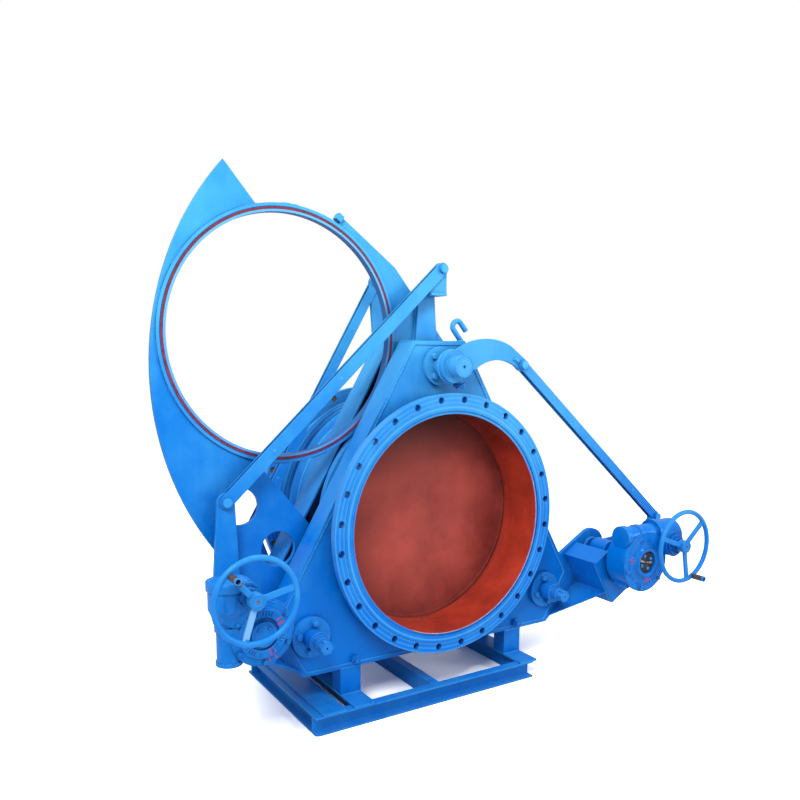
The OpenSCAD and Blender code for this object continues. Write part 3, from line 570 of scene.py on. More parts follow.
brown_steel = plain_coat("browned_steel", srgb(52, 40, 38), srgb(134, 112, 100), 40.0, 0.4, 0.55, (1, 6, 1))
dark_steel = plain_coat("dark_plate", srgb(30, 24, 24), srgb(74, 60, 56), 50.0, 0.45, 0.35)
bright_steel = plain_coat("bright_steel", srgb(150, 156, 166), srgb(226, 232, 240), 120.0, 0.3, 0.7)
red_mark = plain_coat("red_paint_mark", srgb(196, 10, 38), srgb(240, 30, 62), 90.0, 0.4)
dark_hole = plain_coat("shadowed_hole", srgb(8, 16, 34), srgb(16, 34, 70), 50.0, 0.8)
bore_edge_highlight = plain_coat("worn_bore_edge", srgb(178, 120, 128), srgb(222, 182, 190), 30.0, 0.5)
wood = plain_coat("wooden_plug", srgb(84, 58, 34), srgb(134, 98, 60), 60.0, 0.7, 0.0, (1, 0.2, 5), 0.2)

# %% Seals, painted over along both lips
seal_rubber = plain_coat("seal_rubber", srgb(96, 26, 28), srgb(150, 48, 42), 60.0, 0.62)
tree = seal_rubber.node_tree
shader = tree.nodes["Principled BSDF"]
red_line = shader.inputs["Base Color"].links[0].from_socket
lips = 0.0
for centre in (ring_centre, disc_centre):
    outer, inner = (use(tree, "Round zone", Centre=tuple(centre), Radius=radius, Wobble=wobble)["Mask"]
                    for radius, wobble in ((0.5165, 0.003), (0.5085, 0.002)))
    lips = plus(lips, minus(outer, inner), True)
connect(shader.inputs, {"Base Color": mixed(lips, srgb(10, 64, 140), red_line)})

# %% [markdown]
# ## Dress the construction model
# Each node of the model keeps its mesh and gets the finish that its making calls for: plate work,
# casting, turned face or rubber.

# %% Finishes for the nodes
FINISH = {
    blue_base: ["base_front_rail", "base_rear_rail", "base_left_rail", "base_right_rail",
                "base_cross_rails", "base_pads"],
    blue_body: ["front_plate", "front_walls", "rear_walls", "rear_plate"],
    blue_plate: ["support_posts", "lifting_hooks", "left_bracket", "right_bracket", "sector_crank",
                 "drive_lever", "drive_rod", "clamp_arm", "clamp_rod", "clamp_crank",
                 "rear_bell_crank", "left_rear_rod", "right_rear_rod", "bellows"],
    blue_sector: ["sector_web"],
    blue_pipe: ["front_pipe", "rear_pipe"],
    blue_flange: ["front_flange", "rear_flange"],
    blue_bolt: ["front_bushes", "rear_bushes", "guide_rods"],
    blue_cast: ["left_gearbox", "right_gearbox", "left_gear_cover", "right_gear_cover"],
    blue_left_wheel: ["left_handwheel"], blue_wheel: ["right_handwheel"],
    blue_top_end: ["top_screw"], blue_left_end: ["left_screw"], blue_right_end: ["right_screw"],
    blue_ring: ["port_ring"], red_disc: ["blind_disc"], seal_rubber: ["sector_seals"],
}
dressed = 0
for finish, names in FINISH.items():
    for name in names:
        mesh = frame["nodes"][name].data
        mesh.materials.clear()
        mesh.materials.append(finish)
        mesh.polygons.foreach_set("material_index", [0] * len(mesh.polygons))
        dressed += 1
print("dressed", dressed, "of", len(frame["nodes"]), "nodes")

# %% [markdown]
# ## Small tools for meshes
# Bolts, rings and weld beads are all skins stretched over a row of rings, so one function makes the
# faces and the others only decide where the rings go. A finished piece merges many such shapes,
# rides on a body and takes a finish.

# %% Mesh helpers
made_pieces = []
SLOT, SHARP_ANGLE = "blue_enamel", math.radians(32)


def skin(rows, ends=True):
    """Stretches faces over a row of rings with equal point counts, and closes the ends."""
    rows = np.asarray(rows, float)
    count, around = rows.shape[:2]
    faces = [(i * around + j, i * around + (j + 1) % around, (i + 1) * around + (j + 1) % around,
              (i + 1) * around + j) for i in range(count - 1) for j in range(around)]
    if ends:
        faces += [tuple(range(around)), tuple((count - 1) * around + j for j in range(around))]
    return rows.reshape(-1, 3), faces


def across(axis):
    """An axis and the two directions square to it. For FRONT they are right and up."""
    axis = np.array(axis, float) / np.linalg.norm(axis)
    side = np.cross((0, 0, 1) if abs(axis[2]) < 0.9 else (1, 0, 0), axis)
    side /= np.linalg.norm(side)
    return axis, side, np.cross(axis, side)


def spokes(t, side, up):
    """Unit vectors at the angles t, which start at side and turn towards up."""
    return np.outer(np.cos(t), side) + np.outer(np.sin(t), up)


def lathe(profile, centre, axis=FRONT, sides=28, closed=False):
    """Turns a profile of (radius, height along the axis) in mm. A closed one makes a ring."""
    axis, side, up = across(axis)
    out = spokes(np.arange(sides) * math.tau / sides, side, up)
    if closed:
        profile = profile + profile[:1]
    return skin([np.asarray(centre) + MM * (radius * out + height * axis) for radius, height in profile],
                not closed)


def ring(profile, centre, axis=FRONT, sides=28):
    return lathe(profile, centre, axis, sides, closed=True)


def hexagon(centre, flats, height, axis=FRONT, turn=0.0):
    """A hexagon head with the domed chamfer that a bolt has. Sizes in mm."""
    axis, side, up = across(axis)
    degrees = np.arange(24) * 15.0
    radius = flats / 2 / np.cos(np.radians(degrees % 60 - 30))
    out = spokes(np.radians(degrees + turn), side, up)
    crown = height - 0.62 * np.maximum(radius - 0.47 * flats, 0)
    rows = [radius[:, None] * out, radius[:, None] * out + crown[:, None] * axis,
            0.46 * flats * out + height * axis, 0.3 * flats * out + (height + 0.4) * axis]
    return skin([np.asarray(centre) + MM * row for row in rows])


def piece(name, shapes, finish, body="valve_frame"):
    """Merges shapes into one object that rides on a body and takes a finish."""
    verts, faces, start = [], [], 0
    for points, polygons in shapes:
        verts.append(points)
        faces += [tuple(i + start for i in polygon) for polygon in polygons]
        start += len(points)
    mesh = bpy.data.meshes.new(name)
    mesh.from_pydata(np.vstack(verts).tolist(), [], faces)
    mesh.validate()
    work = bmesh.new()
    work.from_mesh(mesh)
    bmesh.ops.remove_doubles(work, verts=work.verts, dist=1e-6)
    bmesh.ops.recalc_face_normals(work, faces=work.faces)
    work.to_mesh(mesh)
    work.free()
    mesh.polygons.foreach_set("use_smooth", [True] * len(mesh.polygons))
    mesh.set_sharp_from_angle(angle=SHARP_ANGLE)
    mesh.materials.append(finish)
    made = bpy.data.objects.new(name, mesh)
    scene.collection.objects.link(made)
    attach(made, body)
    made_pieces.append(made)
    print(f"{name}: {len(shapes)} shapes, {len(mesh.polygons)} faces, on {body}")


def solids(node):
    """Splits a node into its separate solids. Returns each one's lowest and highest corner in metres."""
    mesh = frame["nodes"][node].data
    keys = {}
    home = [keys.setdefault(tuple(round(c, 5) for c in v.co), len(keys)) for v in mesh.vertices]
    root = list(range(len(keys)))

    def find(i):
        while root[i] != i:
            root[i] = root[root[i]]
            i = root[i]
        return i

    for edge in mesh.edges:
        root[find(home[edge.vertices[0]])] = find(home[edge.vertices[1]])
    groups = {}
    for point, key in keys.items():
        groups.setdefault(find(key), []).append(point)
    boxes = [(np.min(points, 0), np.max(points, 0)) for points in groups.values()]
    return sorted(boxes, key=lambda box: tuple(box[0]))


def outline(node):
    """Corners of a node's outline as seen from the front, in order round it."""
    points = sorted({(round(v.co.x, 5), round(v.co.z, 5)) for v in frame["nodes"][node].data.vertices})
    return np.array([points[i] for i in convex_hull_2d(points)])


print("front plate has", len(outline("front_plate")), "corners")

# %% [markdown]
# ## Weld beads
# A weld bead is a low rounded seam with a ripple for every pause of the welder's hand. Each one is a
# tube that lies half in the corner it fills. Its radius swells and shrinks along the way, with a
# seeded wander so that no two inches match, and it tapers where the run starts and stops.

# %% Bead along a path
hand_wander = random.Random(11)


def bead(path, radius=4.0, pitch=7.0, sides=7):
    """A rippled weld bead along points in metres. radius and pitch in mm."""
    path = np.asarray(path, float)
    travelled = np.concatenate([[0], np.cumsum(np.linalg.norm(np.diff(path, axis=0), axis=1))])
    steps = max(4, int(travelled[-1] / (pitch * MM / 2)))
    s = np.linspace(0, travelled[-1], steps)
    points = np.stack([np.interp(s, travelled, path[:, k]) for k in range(3)], 1)
    run = np.gradient(points, axis=0)
    run /= np.linalg.norm(run, axis=1)[:, None]
    side = np.cross(run, np.eye(3)[np.abs(run).max(0).argmin()])
    side /= np.linalg.norm(side, axis=1)[:, None]
    up = np.cross(side, run)
    t = np.arange(sides) * math.tau / sides
    rows = []
    for i in range(steps):
        size = radius * (0.9 + 0.2 * (i % 2)) * (1 + 0.10 * hand_wander.uniform(-1, 1))
        size *= min(1.0, 0.35 + 0.3 * i, 0.35 + 0.3 * (steps - 1 - i))
        aside = MM * 0.5 * hand_wander.uniform(-1, 1)
        rows.append(points[i] + side[i] * aside + MM * size * spokes(t, side[i], up[i]))
    return skin(rows)


def circle(centre, radius, y, start=0.0, end=360.0, step=4.0):
    """Points along an arc about a centre on the plane y."""
    count = max(2, int(abs(end - start) / step) + 1)
    return [put(centre, angle, radius, y) for angle in np.linspace(start, end, count)]


def closed_path(corners, y):
    """Corners seen from the front, as a closed path on the plane y."""
    return [np.array([x, y * MM, z]) for x, z in [*corners, corners[0]]]


print("a bead 100 mm long has", len(bead([(0, 0, 0), (0.1, 0, 0)])[1]), "faces")

# %% [markdown]
# ## Welds of the body
# The two halves are boxes of plate. A seam runs inside the rim where each face plate meets the walls,
# another closes each of the six corners, and round seams join the pipe to the plates and flanges.

# %% Body and pipe welds
PIPE_RADIUS, FLANGE = 510, 36
wall_front = face("front_walls")
rim_welds = [bead(closed_path(outline(node), y), 4.6)
             for node, y in (("front_plate", plate_y), ("rear_plate", back_plate_y))]
for node in ("front_walls", "rear_walls"):
    corner_ends = face(node) + 4, face(node, REAR) - 4
    rim_welds += [bead([(x, y * MM, z) for y in corner_ends], 2.4) for x, z in outline(node)]
piece("body_welds", rim_welds, blue_weld)
seams = ((plate_y, 6.0), (FLANGE, 5.0), (back_plate_y, 6.0), (face("rear_flange"), 5.0),
         (face("bellows"), 4.0), (face("bellows", REAR), 4.0))
piece("pipe_welds", [bead(circle(bore, PIPE_RADIUS + 1, y), radius) for y, radius in seams], blue_weld)

# %% [markdown]
# ## Worn and highlighted edge of the bore
# Gaskets and tools have rubbed the sharp edge where the bore meets the flange. On the right and
# underneath a pale pinkish line, hardly wider than a scratch, is partly that thin paint and partly a
# painted highlight along the edge.

# %% Bore edge
# Painted highlight and thin paint: a pale pink line along the bore's edge.
highlight_arc = circle(bore, 497.2, face("front_flange") + 1.0, -115, 25)
piece("bore_edge", [bead(highlight_arc, 1.5, sides=8)], bore_edge_highlight)

# %% [markdown]
# ## Welds of the base and its posts
# Short seams hold each post between the body and its pad, and each pad on the rails. Vertical beads
# close the corners where the channels meet.

# %% Base and post welds
RAIL_FLANGE = 0.009


def around_box(low, high, z):
    """A closed path round a box at the height z, in metres."""
    return [(low[0], low[1], z), (high[0], low[1], z), (high[0], high[1], z), (low[0], high[1], z),
            (low[0], low[1], z)]


base_welds = []
for low, high in solids("support_posts"):
    base_welds += [bead(around_box(low, high, z), 3.4) for z in (low[2], high[2])]
for low, high in solids("base_pads"):
    base_welds += [bead([(x, y, low[2]) for x in (low[0], high[0])], 2.6) for y in (low[1], high[1])]
left_rail, right_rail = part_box("base_left_rail"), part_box("base_right_rail")
for x in (left_rail[1].x, right_rail[0].x):
    for y in (left_rail[0].y, left_rail[1].y):
        base_welds.append(bead([(x, y, left_rail[1].z - RAIL_FLANGE), (x, y, RAIL_FLANGE)], 2.6))
for low, high in solids("base_cross_rails"):
    base_welds += [bead([(x, low[1], high[2] - RAIL_FLANGE), (x, low[1], RAIL_FLANGE)], 2.4)
                   for x in (low[0], high[0])]
piece("base_welds", base_welds, blue_weld)

# %% [markdown]
# ## Welds of the gearbox brackets
# Each bracket is folded from plates that stand on the body's sloping side. The seams between them are
# wide and wavy, because they carry the pull of the gearboxes.

# %% Bracket welds
PLATE_TOP, PLATE, SIDE_PLANE, SLOPE = 86, 14, -124, math.radians(30)


def on_bracket(side, u, v, y):
    """A point in the bracket's frame: u out from the body's sloping side, v up along it, in mm."""
    x = u * math.cos(SLOPE) - v * math.sin(SLOPE)
    z = u * math.sin(SLOPE) + v * math.cos(SLOPE)
    shaft = right_shaft if side > 0 else left_shaft
    return np.array([shaft[0] + side * x * MM, y * MM, shaft[2] + z * MM])


bracket_welds = []
front_y = face("right_bracket")
for side, shaft, inner_u, end_v in ((1, right_shaft, -176, -169), (-1, left_shaft, -150, -112)):
    back_y = front_y + PLATE
    for v in (PLATE_TOP - PLATE, end_v + PLATE):
        bracket_welds.append(bead([on_bracket(side, u, v, back_y) for u in (inner_u + PLATE, -100)], 3.2))
    bracket_welds += [bead([on_bracket(side, inner_u, v, back_y) for v in (end_v + 4, PLATE_TOP - 4)], 2.6),
                      bead([on_bracket(side, SIDE_PLANE, v, wall_front) for v in (end_v, PLATE_TOP)], 4.5),
                      bead(circle(shaft, 49, wall_front, -80, 200), 3.6)]
piece("bracket_welds", bracket_welds, blue_weld)

# %% [markdown]
# ## Welds of the sector
# The ring is held in the web by a row of short stitches, so that the heat of one long seam cannot warp
# it. They are coloured darker than the paint, with more of the corner grime and painted shade. The
# crank and its shelf are welded all along their feet.

# %% Sector welds
RIM_RADIUS, WEB_FRONT, WEB_BACK = 533, 250, 270
stitches = [bead(circle(centre, RIM_RADIUS + 1, y, start, start + 9, 2.0), 3.0)
            for centre, first, last in ((ring_centre, 62, 322), (disc_centre, 218, 478))
            for start in range(first, last, 20) for y in (WEB_FRONT, WEB_BACK)]
piece("sector_stitch_welds", stitches, darkened_weld, "sector")

crank_foot = [(-74, 0), (-48, 126), (-34, 316)], [(74, 0), (66, 126), (53, 316)]
crank_welds = [bead([np.array([pivot[0] + x * MM, WEB_FRONT * MM, pivot[2] + z * MM])
                     for x, z in edge_line], 3.2) for edge_line in crank_foot]
SHELF_ENDS, LUG_TOP = (-5, 69), pivot[2] + (1028 - 704) * MM
crank_welds += [bead([(x * MM, y * MM, LUG_TOP + 0.002) for x in SHELF_ENDS], 3.0) for y in (195, 179)]
piece("sector_crank_welds", crank_welds, blue_weld, "sector")

# %% [markdown]
# ## Bush bolts
# Each clamp screw runs in a flanged bush held by four hexagon bolts. On the lower bushes the pattern
# is turned so that two bolts lie on a line along the sloping side. A washer under every head spreads
# its load.

# %% Bush bolts
BOLT_CIRCLE, WASHER = 62, 2.2


def bolt(centre, flats, axis=FRONT, turn=0.0, washer=True):
    """Hexagon bolt on its washer. Returns the shapes."""
    under = WASHER if washer else 0.0
    shapes = [hexagon(np.asarray(centre) + np.array(axis, float) * under * MM, flats, 0.62 * flats, axis,
                      turn)]
    if washer:
        shapes.append(lathe([(0.58 * flats, 0), (0.66 * flats, 0), (0.68 * flats, 0.5),
                             (0.66 * flats, under), (0.5 * flats, under)], centre, axis, 24))
    return shapes


turning = random.Random(5)
for name, axis in (("front", FRONT), ("rear", REAR)):
    heads = []
    for screw, first in ((pivot, 45), (left_screw, 77), (right_screw, 13)):
        for k in range(4):
            heads += bolt(put(screw, first + 90 * k, BOLT_CIRCLE, face(name + "_bushes", axis)), 25, axis,
                          turning.uniform(0, 60))
    piece(name + "_bush_bolts", heads, blue_bolt)

# %% [markdown]
# ## Top hub
# The clamp arm's hub is welded round the screw, whose turned end stands out of it. The seam at its
# foot catches the light as a bright line. Two set screws under the hub lock it, and a centre hole
# left by the lathe marks the middle of the end.

# %% Top hub and screw ends
hub_y, end_y = face("clamp_arm"), face("top_screw")
hub_welds = [bead(circle(pivot, 48, hub_y), 2.6), bead(circle(pivot, 70.5, hub_y + 0.5), 1.8),
             bead(circle(pivot, 72, 18, 60, 330), 3.4)]
piece("top_hub_welds", hub_welds, blue_bolt, "clamp_arm")
SET_SCREW_ANGLE, SET_SCREW_TOP = -62, 108
out_of_hub = directions(SET_SCREW_ANGLE)[0]
set_screws = []
for y, foot_radius in ((-2, 71), (38, 53)):
    foot, stem = put(pivot, SET_SCREW_ANGLE, foot_radius, y), SET_SCREW_TOP - foot_radius
    set_screws += [lathe([(9, -2), (9, stem), (6, stem + 1)], foot, out_of_hub, 20),
                   hexagon(foot + out_of_hub * (stem - 22) * MM, 28, 14, out_of_hub, 12)]
piece("top_hub_set_screws", set_screws, darkened_weld, "clamp_arm")
screw_end = [ring([(5.2, -3), (8.5, -3), (8.5, 0.7), (6.6, 1.4), (5.2, 0.7)], on_axis(pivot, end_y)),
             ring([(43, -1), (46.2, -1), (46.2, 1.2), (44.6, 1.8), (43, 0.9)], on_axis(pivot, end_y),
                  sides=64)]
piece("top_screw_centre", screw_end, blue_top_end, "clamp_arm")

# %% [markdown]
# ## Lower screw ends
# Both lower screws end in a hexagon for a spanner. A collar weld joins it to the round shaft, and the
# centre hole of the lathe shows as a small dark dot.

# %% Lower screw ends
for body, screw, finish in (("left_screw", left_screw, blue_left_end),
                            ("right_screw", right_screw, blue_right_end)):
    low_y = face(body)
    shapes = [ring([(26.5, -0.5), (30.6, -0.5), (31.2, 1.5), (30.6, 4), (26.5, 4)], on_axis(screw, -12),
                   sides=48),
              ring([(4.1, -3), (6.4, -3), (6.4, 0.5), (4.1, 0.5)], on_axis(screw, low_y)),
              bead(circle(screw, 43, 21), 2.2), bead(circle(screw, 31, 20), 2.0)]
    piece(body + "_end", shapes, finish, body)
    hole = lathe([(3.9, -1), (3.9, 5), (2.0, 6)], on_axis(screw, low_y + 6))
    piece(body + "_end_hole", [hole], dark_hole, body)

# %% [markdown]
# ## Link pins
# Pins join the rods to the lever, the arm and the cranks. In front each has a plain crowned head.
# Behind, it gets a washer against the flat and a split pin through it, with one leg bent back. The
# flats are plug welded to the distance pieces between them, which leaves a row of low round spots
# along each rod.

# %% Pin washers, split pins and plug welds
PIN_RADIUS, PIN_HEAD, HALF_LINK = 20.0, 14.0, 16


def split_pin(centre, angle, length=50.0, wire=1.92):
    """A split pin behind a pin head: an eye at one end and two bent legs at the other."""
    _, side, up = across(REAR)
    a = math.radians(angle)
    run, aside = math.cos(a) * side + math.sin(a) * up, math.cos(a) * up - math.sin(a) * side
    eye = [centre + MM * ((-length / 2 - 5 + 5 * math.cos(t)) * run + 5 * math.sin(t) * aside)
           for t in np.linspace(0.3, math.tau - 0.3, 14)]
    shapes = [bead(eye, wire, 3, 8)]
    for s in (-1, 1):
        leg = [centre + MM * (x * run + s * (1.3 + bend) * aside)
               for x, bend in ((-length / 2, 0), (length / 2 - 9, 0), (length / 2 - 5, 3),
                               (length / 2 - 3, 9))]
        shapes.append(bead(leg, wire, 5, 8))
    return shapes


def link_pin(centre, y_front, y_back):
    """A washer and a split pin behind a pin whose flats lie between two planes, and its front."""
    r = PIN_RADIUS
    washer = [(r + 0.3, 0), (27, 0), (27, 2.4), (26.2, 3), (r + 0.3, 3)]
    crown = [(r - 3, -0.5), (r - 0.6, -0.5), (r - 0.6, 1.0), (r - 3, 1.5), (6, 1.6)]
    return [ring(washer, on_axis(centre, y_back), REAR, 40),
            lathe(crown, on_axis(centre, y_front - PIN_HEAD), FRONT, 40),
            *split_pin(on_axis(centre, y_back + PIN_HEAD - 5.5), 55)]


def plug_weld(centre, y, axis):
    """A low round spot of weld with a dimple in its middle."""
    profile = [(8.5, -0.5), (8.2, 0.6), (6.6, 1.4), (4.0, 1.1), (1.5, 1.5)]
    return lathe(profile, on_axis(centre, y), axis, 18)


arm_pin, crank_pin = spot["clamp_rod_turn"], put(right_shaft, 19.8, 405, 0)
lever_pin, lug_pin = spot["rod_turn"], put(pivot, 82.5, 439, 0)
left_rear, right_rear = spot["left_rear_rod_turn"], spot["right_rear_rod_turn"]
LINKS = {  # body: (first pin, last pin, middle plane, last distance piece along the rod)
    "drive_rod": (lever_pin, lug_pin, 187, 0.78),
    "clamp_rod": (arm_pin, crank_pin, 26, 0.8),
    "left_rear_rod": (left_rear, left_screw + left_rear - pivot, 517.5, 0.8),
    "right_rear_rod": (right_rear, right_screw + right_rear - pivot, 517.5, 0.8),
}
for body, (first, last, middle, last_tie) in LINKS.items():
    near, far = middle - HALF_LINK, middle + HALF_LINK
    shapes = link_pin(first, near, far) + link_pin(last, near, far)
    shapes += [plug_weld(first + t * (last - first), y, axis) for t in (0.2, 0.5, last_tie)
               for y, axis in ((near, FRONT), (far, REAR))]
    piece(body + "_pins", shapes, blue_bolt, body)

# %% [markdown]
# ## Keeper plate of the arm's pin
# The pin in the arm's end must not turn, so a small plate screwed beside it rests on a flat of its
# head.

# %% Keeper plate
KEEPER_ANGLE, KEEPER_SIZE = 150, (34, 18, 6)


def raised_bar(middle, length_way, width_way, size, top=0.72):
    """A low bar on a front face, with sloping sides. size is length, width and height in mm."""
    length, width, height = size
    return skin([[middle + MM * (sx * scale * length / 2 * length_way
                                 + sy * (width / 2 - (1 - scale) * length / 2) * width_way
                                 + rise * np.array(FRONT))
                  for sx, sy in ((-1, -1), (1, -1), (1, 1), (-1, 1))]
                 for scale, rise in ((1.0, -0.6), (1.0, 0.45 * height), (top, height))])


keeper = [raised_bar(put(arm_pin, KEEPER_ANGLE, 42, 18), *directions(KEEPER_ANGLE), KEEPER_SIZE, 0.92)]
keeper += bolt(put(arm_pin, KEEPER_ANGLE, 48, 12), 13, FRONT, 20, washer=False)
piece("arm_pin_keeper", keeper, blue_bolt, "clamp_arm")

# %% [markdown]
# ## Gear covers
# Both covers are castings held by hexagon bolts round their edge. Where a foundry would cast lettering,
# these carry plain raised bars in two arcs, and short strokes of red paint mark the two ends of travel.

# %% Cover bolts and cast bars
LEFT_RIM, LEFT_STEP, LEFT_CAP, RIGHT_RIM = -200, -208, -216, -250


def cast_arc(centre, radius, y, start, end, step=8.5, size=(6, 15)):
    """A row of short raised bars along an arc, each one pointing at the centre."""
    shapes = []
    for k, angle in enumerate(np.arange(start, end, step)):
        if k % 5 == 4:
            continue
        outward, round_way = directions(angle)
        tall = size[1] * (0.75 if k % 3 == 1 else 1.0)
        shapes.append(raised_bar(put(centre, angle, radius, y), round_way, outward, (size[0], tall, 3.2)))
    return shapes


def cast_ring(centre, radius, y, width=3.0, height=1.6, sides=72):
    """A low rounded rib that runs right round a centre."""
    return ring([(radius - width / 2, -0.5), (radius + width / 2, -0.5), (radius + width / 3, 0.7 * height),
                 (radius, height), (radius - width / 3, 0.7 * height)], on_axis(centre, y), sides=sides)


def bolt_ring(centre, first, count, radius, y, flats, turn, washer=True, missing=()):
    """Bolts at equal steps round a centre, each turned a little more than the last."""
    return [part for k in range(count) if k not in missing
            for part in bolt(put(centre, first + 360 // count * k, radius, y), flats, FRONT, turn * k,
                             washer)]


left_cover = bolt_ring(left_shaft, 32.5, 6, 109, LEFT_RIM, 15, 20)
left_cover += bolt_ring(left_shaft, 47, 4, 29, LEFT_CAP, 9, 25, washer=False)
for start, end in ((62, 124), (176, 262), (292, 352)):
    left_cover += cast_arc(left_shaft, 77, LEFT_STEP, start, end)
left_cover += [cast_ring(left_shaft, 38, LEFT_CAP), cast_ring(left_shaft, 52, LEFT_RIM, 3.0, 1.8),
               cast_ring(left_shaft, 119, LEFT_RIM, 2.4, 1.2)]
piece("left_cover_details", left_cover, blue_cast)

right_cover = bolt_ring(right_shaft, 75, 6, 133, RIGHT_RIM, 15, 17, missing=(0, 1))
right_cover += cast_arc(right_shaft, 108, RIGHT_RIM, 66, 112, 6.5, (5, 12))
right_cover += cast_arc(right_shaft, 112, RIGHT_RIM, 172, 318, 6.5, (5, 15))
right_cover += [cast_ring(right_shaft, radius, RIGHT_RIM, 2.4, height)
                for radius, height in ((143, 1.2), (92, 1.0))]
piece("right_cover_details", right_cover, blue_cast)

# %% Red setting strokes
def stroke(centre, angle, r0, r1, y, width=5.0):
    """A brushed stroke of paint that runs outward. It is a thin skin with a swollen middle."""
    round_way = directions(angle)[1]
    rows = []
    for t in np.linspace(0, 1, 9):
        swell = 0.35 + 0.65 * math.sin(math.pi * min(1.0, 0.12 + t)) ** 0.5 if t < 0.95 else 0.25
        middle = put(centre, angle, r0 + t * (r1 - r0), y) + MM * 0.8 * math.sin(5 * t) * round_way
        rows.append([middle + MM * (s * (width / 2 * swell) * round_way + rise * np.array(FRONT))
                     for s, rise in ((-1, -0.3), (1, -0.3), (0.8, 0.5), (-0.8, 0.5))])
    return skin(rows)


LEFT_STROKES = ((24, 60, 93, LEFT_STEP, 7), (33, 98, 118, LEFT_RIM, 6), (17, 98, 114, LEFT_RIM, 6),
                (38, 66, 90, LEFT_STEP, 5), (-70, 62, 92, LEFT_STEP, 7), (-63, 98, 119, LEFT_RIM, 6),
                (-77, 98, 115, LEFT_RIM, 6), (-58, 70, 90, LEFT_STEP, 5))
RIGHT_STROKES = ((168, 80, 116, RIGHT_RIM, 6), (160, 88, 106, RIGHT_RIM, 5), (176, 88, 104, RIGHT_RIM, 5),
                 (-78, 80, 118, RIGHT_RIM, 6), (-70, 88, 108, RIGHT_RIM, 5), (-86, 88, 106, RIGHT_RIM, 5))
strokes = [stroke(shaft, *line)
           for shaft, lines in ((left_shaft, LEFT_STROKES), (right_shaft, RIGHT_STROKES)) for line in lines]
piece("red_setting_strokes", strokes, red_mark)

# %% [markdown]
# ## Window of the right gearbox
# The cover has a round opening over the end of the shaft. Behind it lies a dark plate with four blue
# screws and two bright pointers, which show how far the clamp has turned.

# %% Window plate, screws and pointers
WINDOW_Y, WINDOW_RADIUS = -250.6, 53.5
plate = lathe([(WINDOW_RADIUS, 0), (WINDOW_RADIUS, 1.4), (WINDOW_RADIUS - 1, 2.2), (30, 2.4), (8, 2.4)],
              on_axis(right_shaft, WINDOW_Y), sides=64)
piece("window_plate", [plate], dark_steel)
window_screws = [lathe([(8.5, 0), (8.5, 3.4), (7.4, 4.8), (4, 5.6), (1.2, 5.8)],
                       put(right_shaft, angle, 34, WINDOW_Y - 2.2), sides=22)
                 for angle in (112, 25, 205, 290)]
piece("window_screws", window_screws, blue_bolt)
pointers = [stroke(right_shaft, angle, r0, r1, WINDOW_Y - 2.4, 4.0)
            for angle, r0, r1 in ((168, 4, 50), (158, 20, 44), (-14, 4, 50), (-4, 22, 46))]
piece("window_pointers", pointers, bright_steel)
piece("window_rim", [cast_ring(right_shaft, 72, -264, 3.0, 0.8)], blue_cast)

# %% [markdown]
# ## Casing bolts and glands
# A gland with studs closes each worm casing where the handwheel's spindle enters. The worm's end
# cap, at the top on the left and at the side on the right, has small screws round its rim.

# %% Glands and end caps
def stud(centre, flats=11):
    """A stud end that stands out of its nut."""
    end = centre + np.array(FRONT, float) * 0.6 * flats * MM
    return [hexagon(centre, flats, 0.6 * flats, FRONT, 15),
            lathe([(0.27 * flats, -1), (0.27 * flats, 3.4), (0.2 * flats, 4.2)], end, FRONT, 16)]


glands = []
for centre, y, r, neck, angles in ((left_wheel, -204, 34, 36, (128, 222, 318)),
                                   (right_wheel, -296, 36, 24, (195, 285, 15))):
    glands.append(ring([(r + 1, 0), (r + 14, 0), (r + 14, 7), (r + 12, 9), (r + 1, 9)], on_axis(centre, y),
                       sides=48))
    for angle in angles:
        glands += stud(put(centre, angle, r + 8, y - 9))
    glands.append(cast_ring(centre, r - 6, y - neck, 3.0, 1.4))
worm_top = np.array([-1.100, -0.150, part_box("left_gearbox")[1].z])
glands.append(lathe([(58, -1), (70, -1), (71, 1.6), (66, 3.4), (40, 3.6), (12, 3.8)],
                    worm_top - (0, 0, 0.0036), UP, 64))
for k in range(5):
    a = math.radians(20 + 72 * k)
    glands.append(lathe([(5, -1), (5, 1.8), (3.6, 2.4), (2, 2.5)],
                        worm_top + MM * np.array([62 * math.cos(a), 62 * math.sin(a), -3.4]), UP, 16))
worm_end = np.array([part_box("right_gearbox")[1].x, -0.196, bore[2] - 0.145])
for k in range(6):
    a = math.radians(30 + 60 * k)
    glands.append(hexagon(worm_end + MM * np.array([-2.0, 62 * math.cos(a), 62 * math.sin(a)]), 9, 1.9,
                          (1, 0, 0), 20))
piece("casing_glands", glands, blue_cast)

# %% [markdown]
# ## Handwheels
# Each wheel's hub has turned rings and a small nut that holds it on the spindle. The spokes are welded
# to the rim, where brush marks pile up. The crank handle is bare tube, browned by hands, and at the
# left wheel the foot of its spoke has lost its paint too.

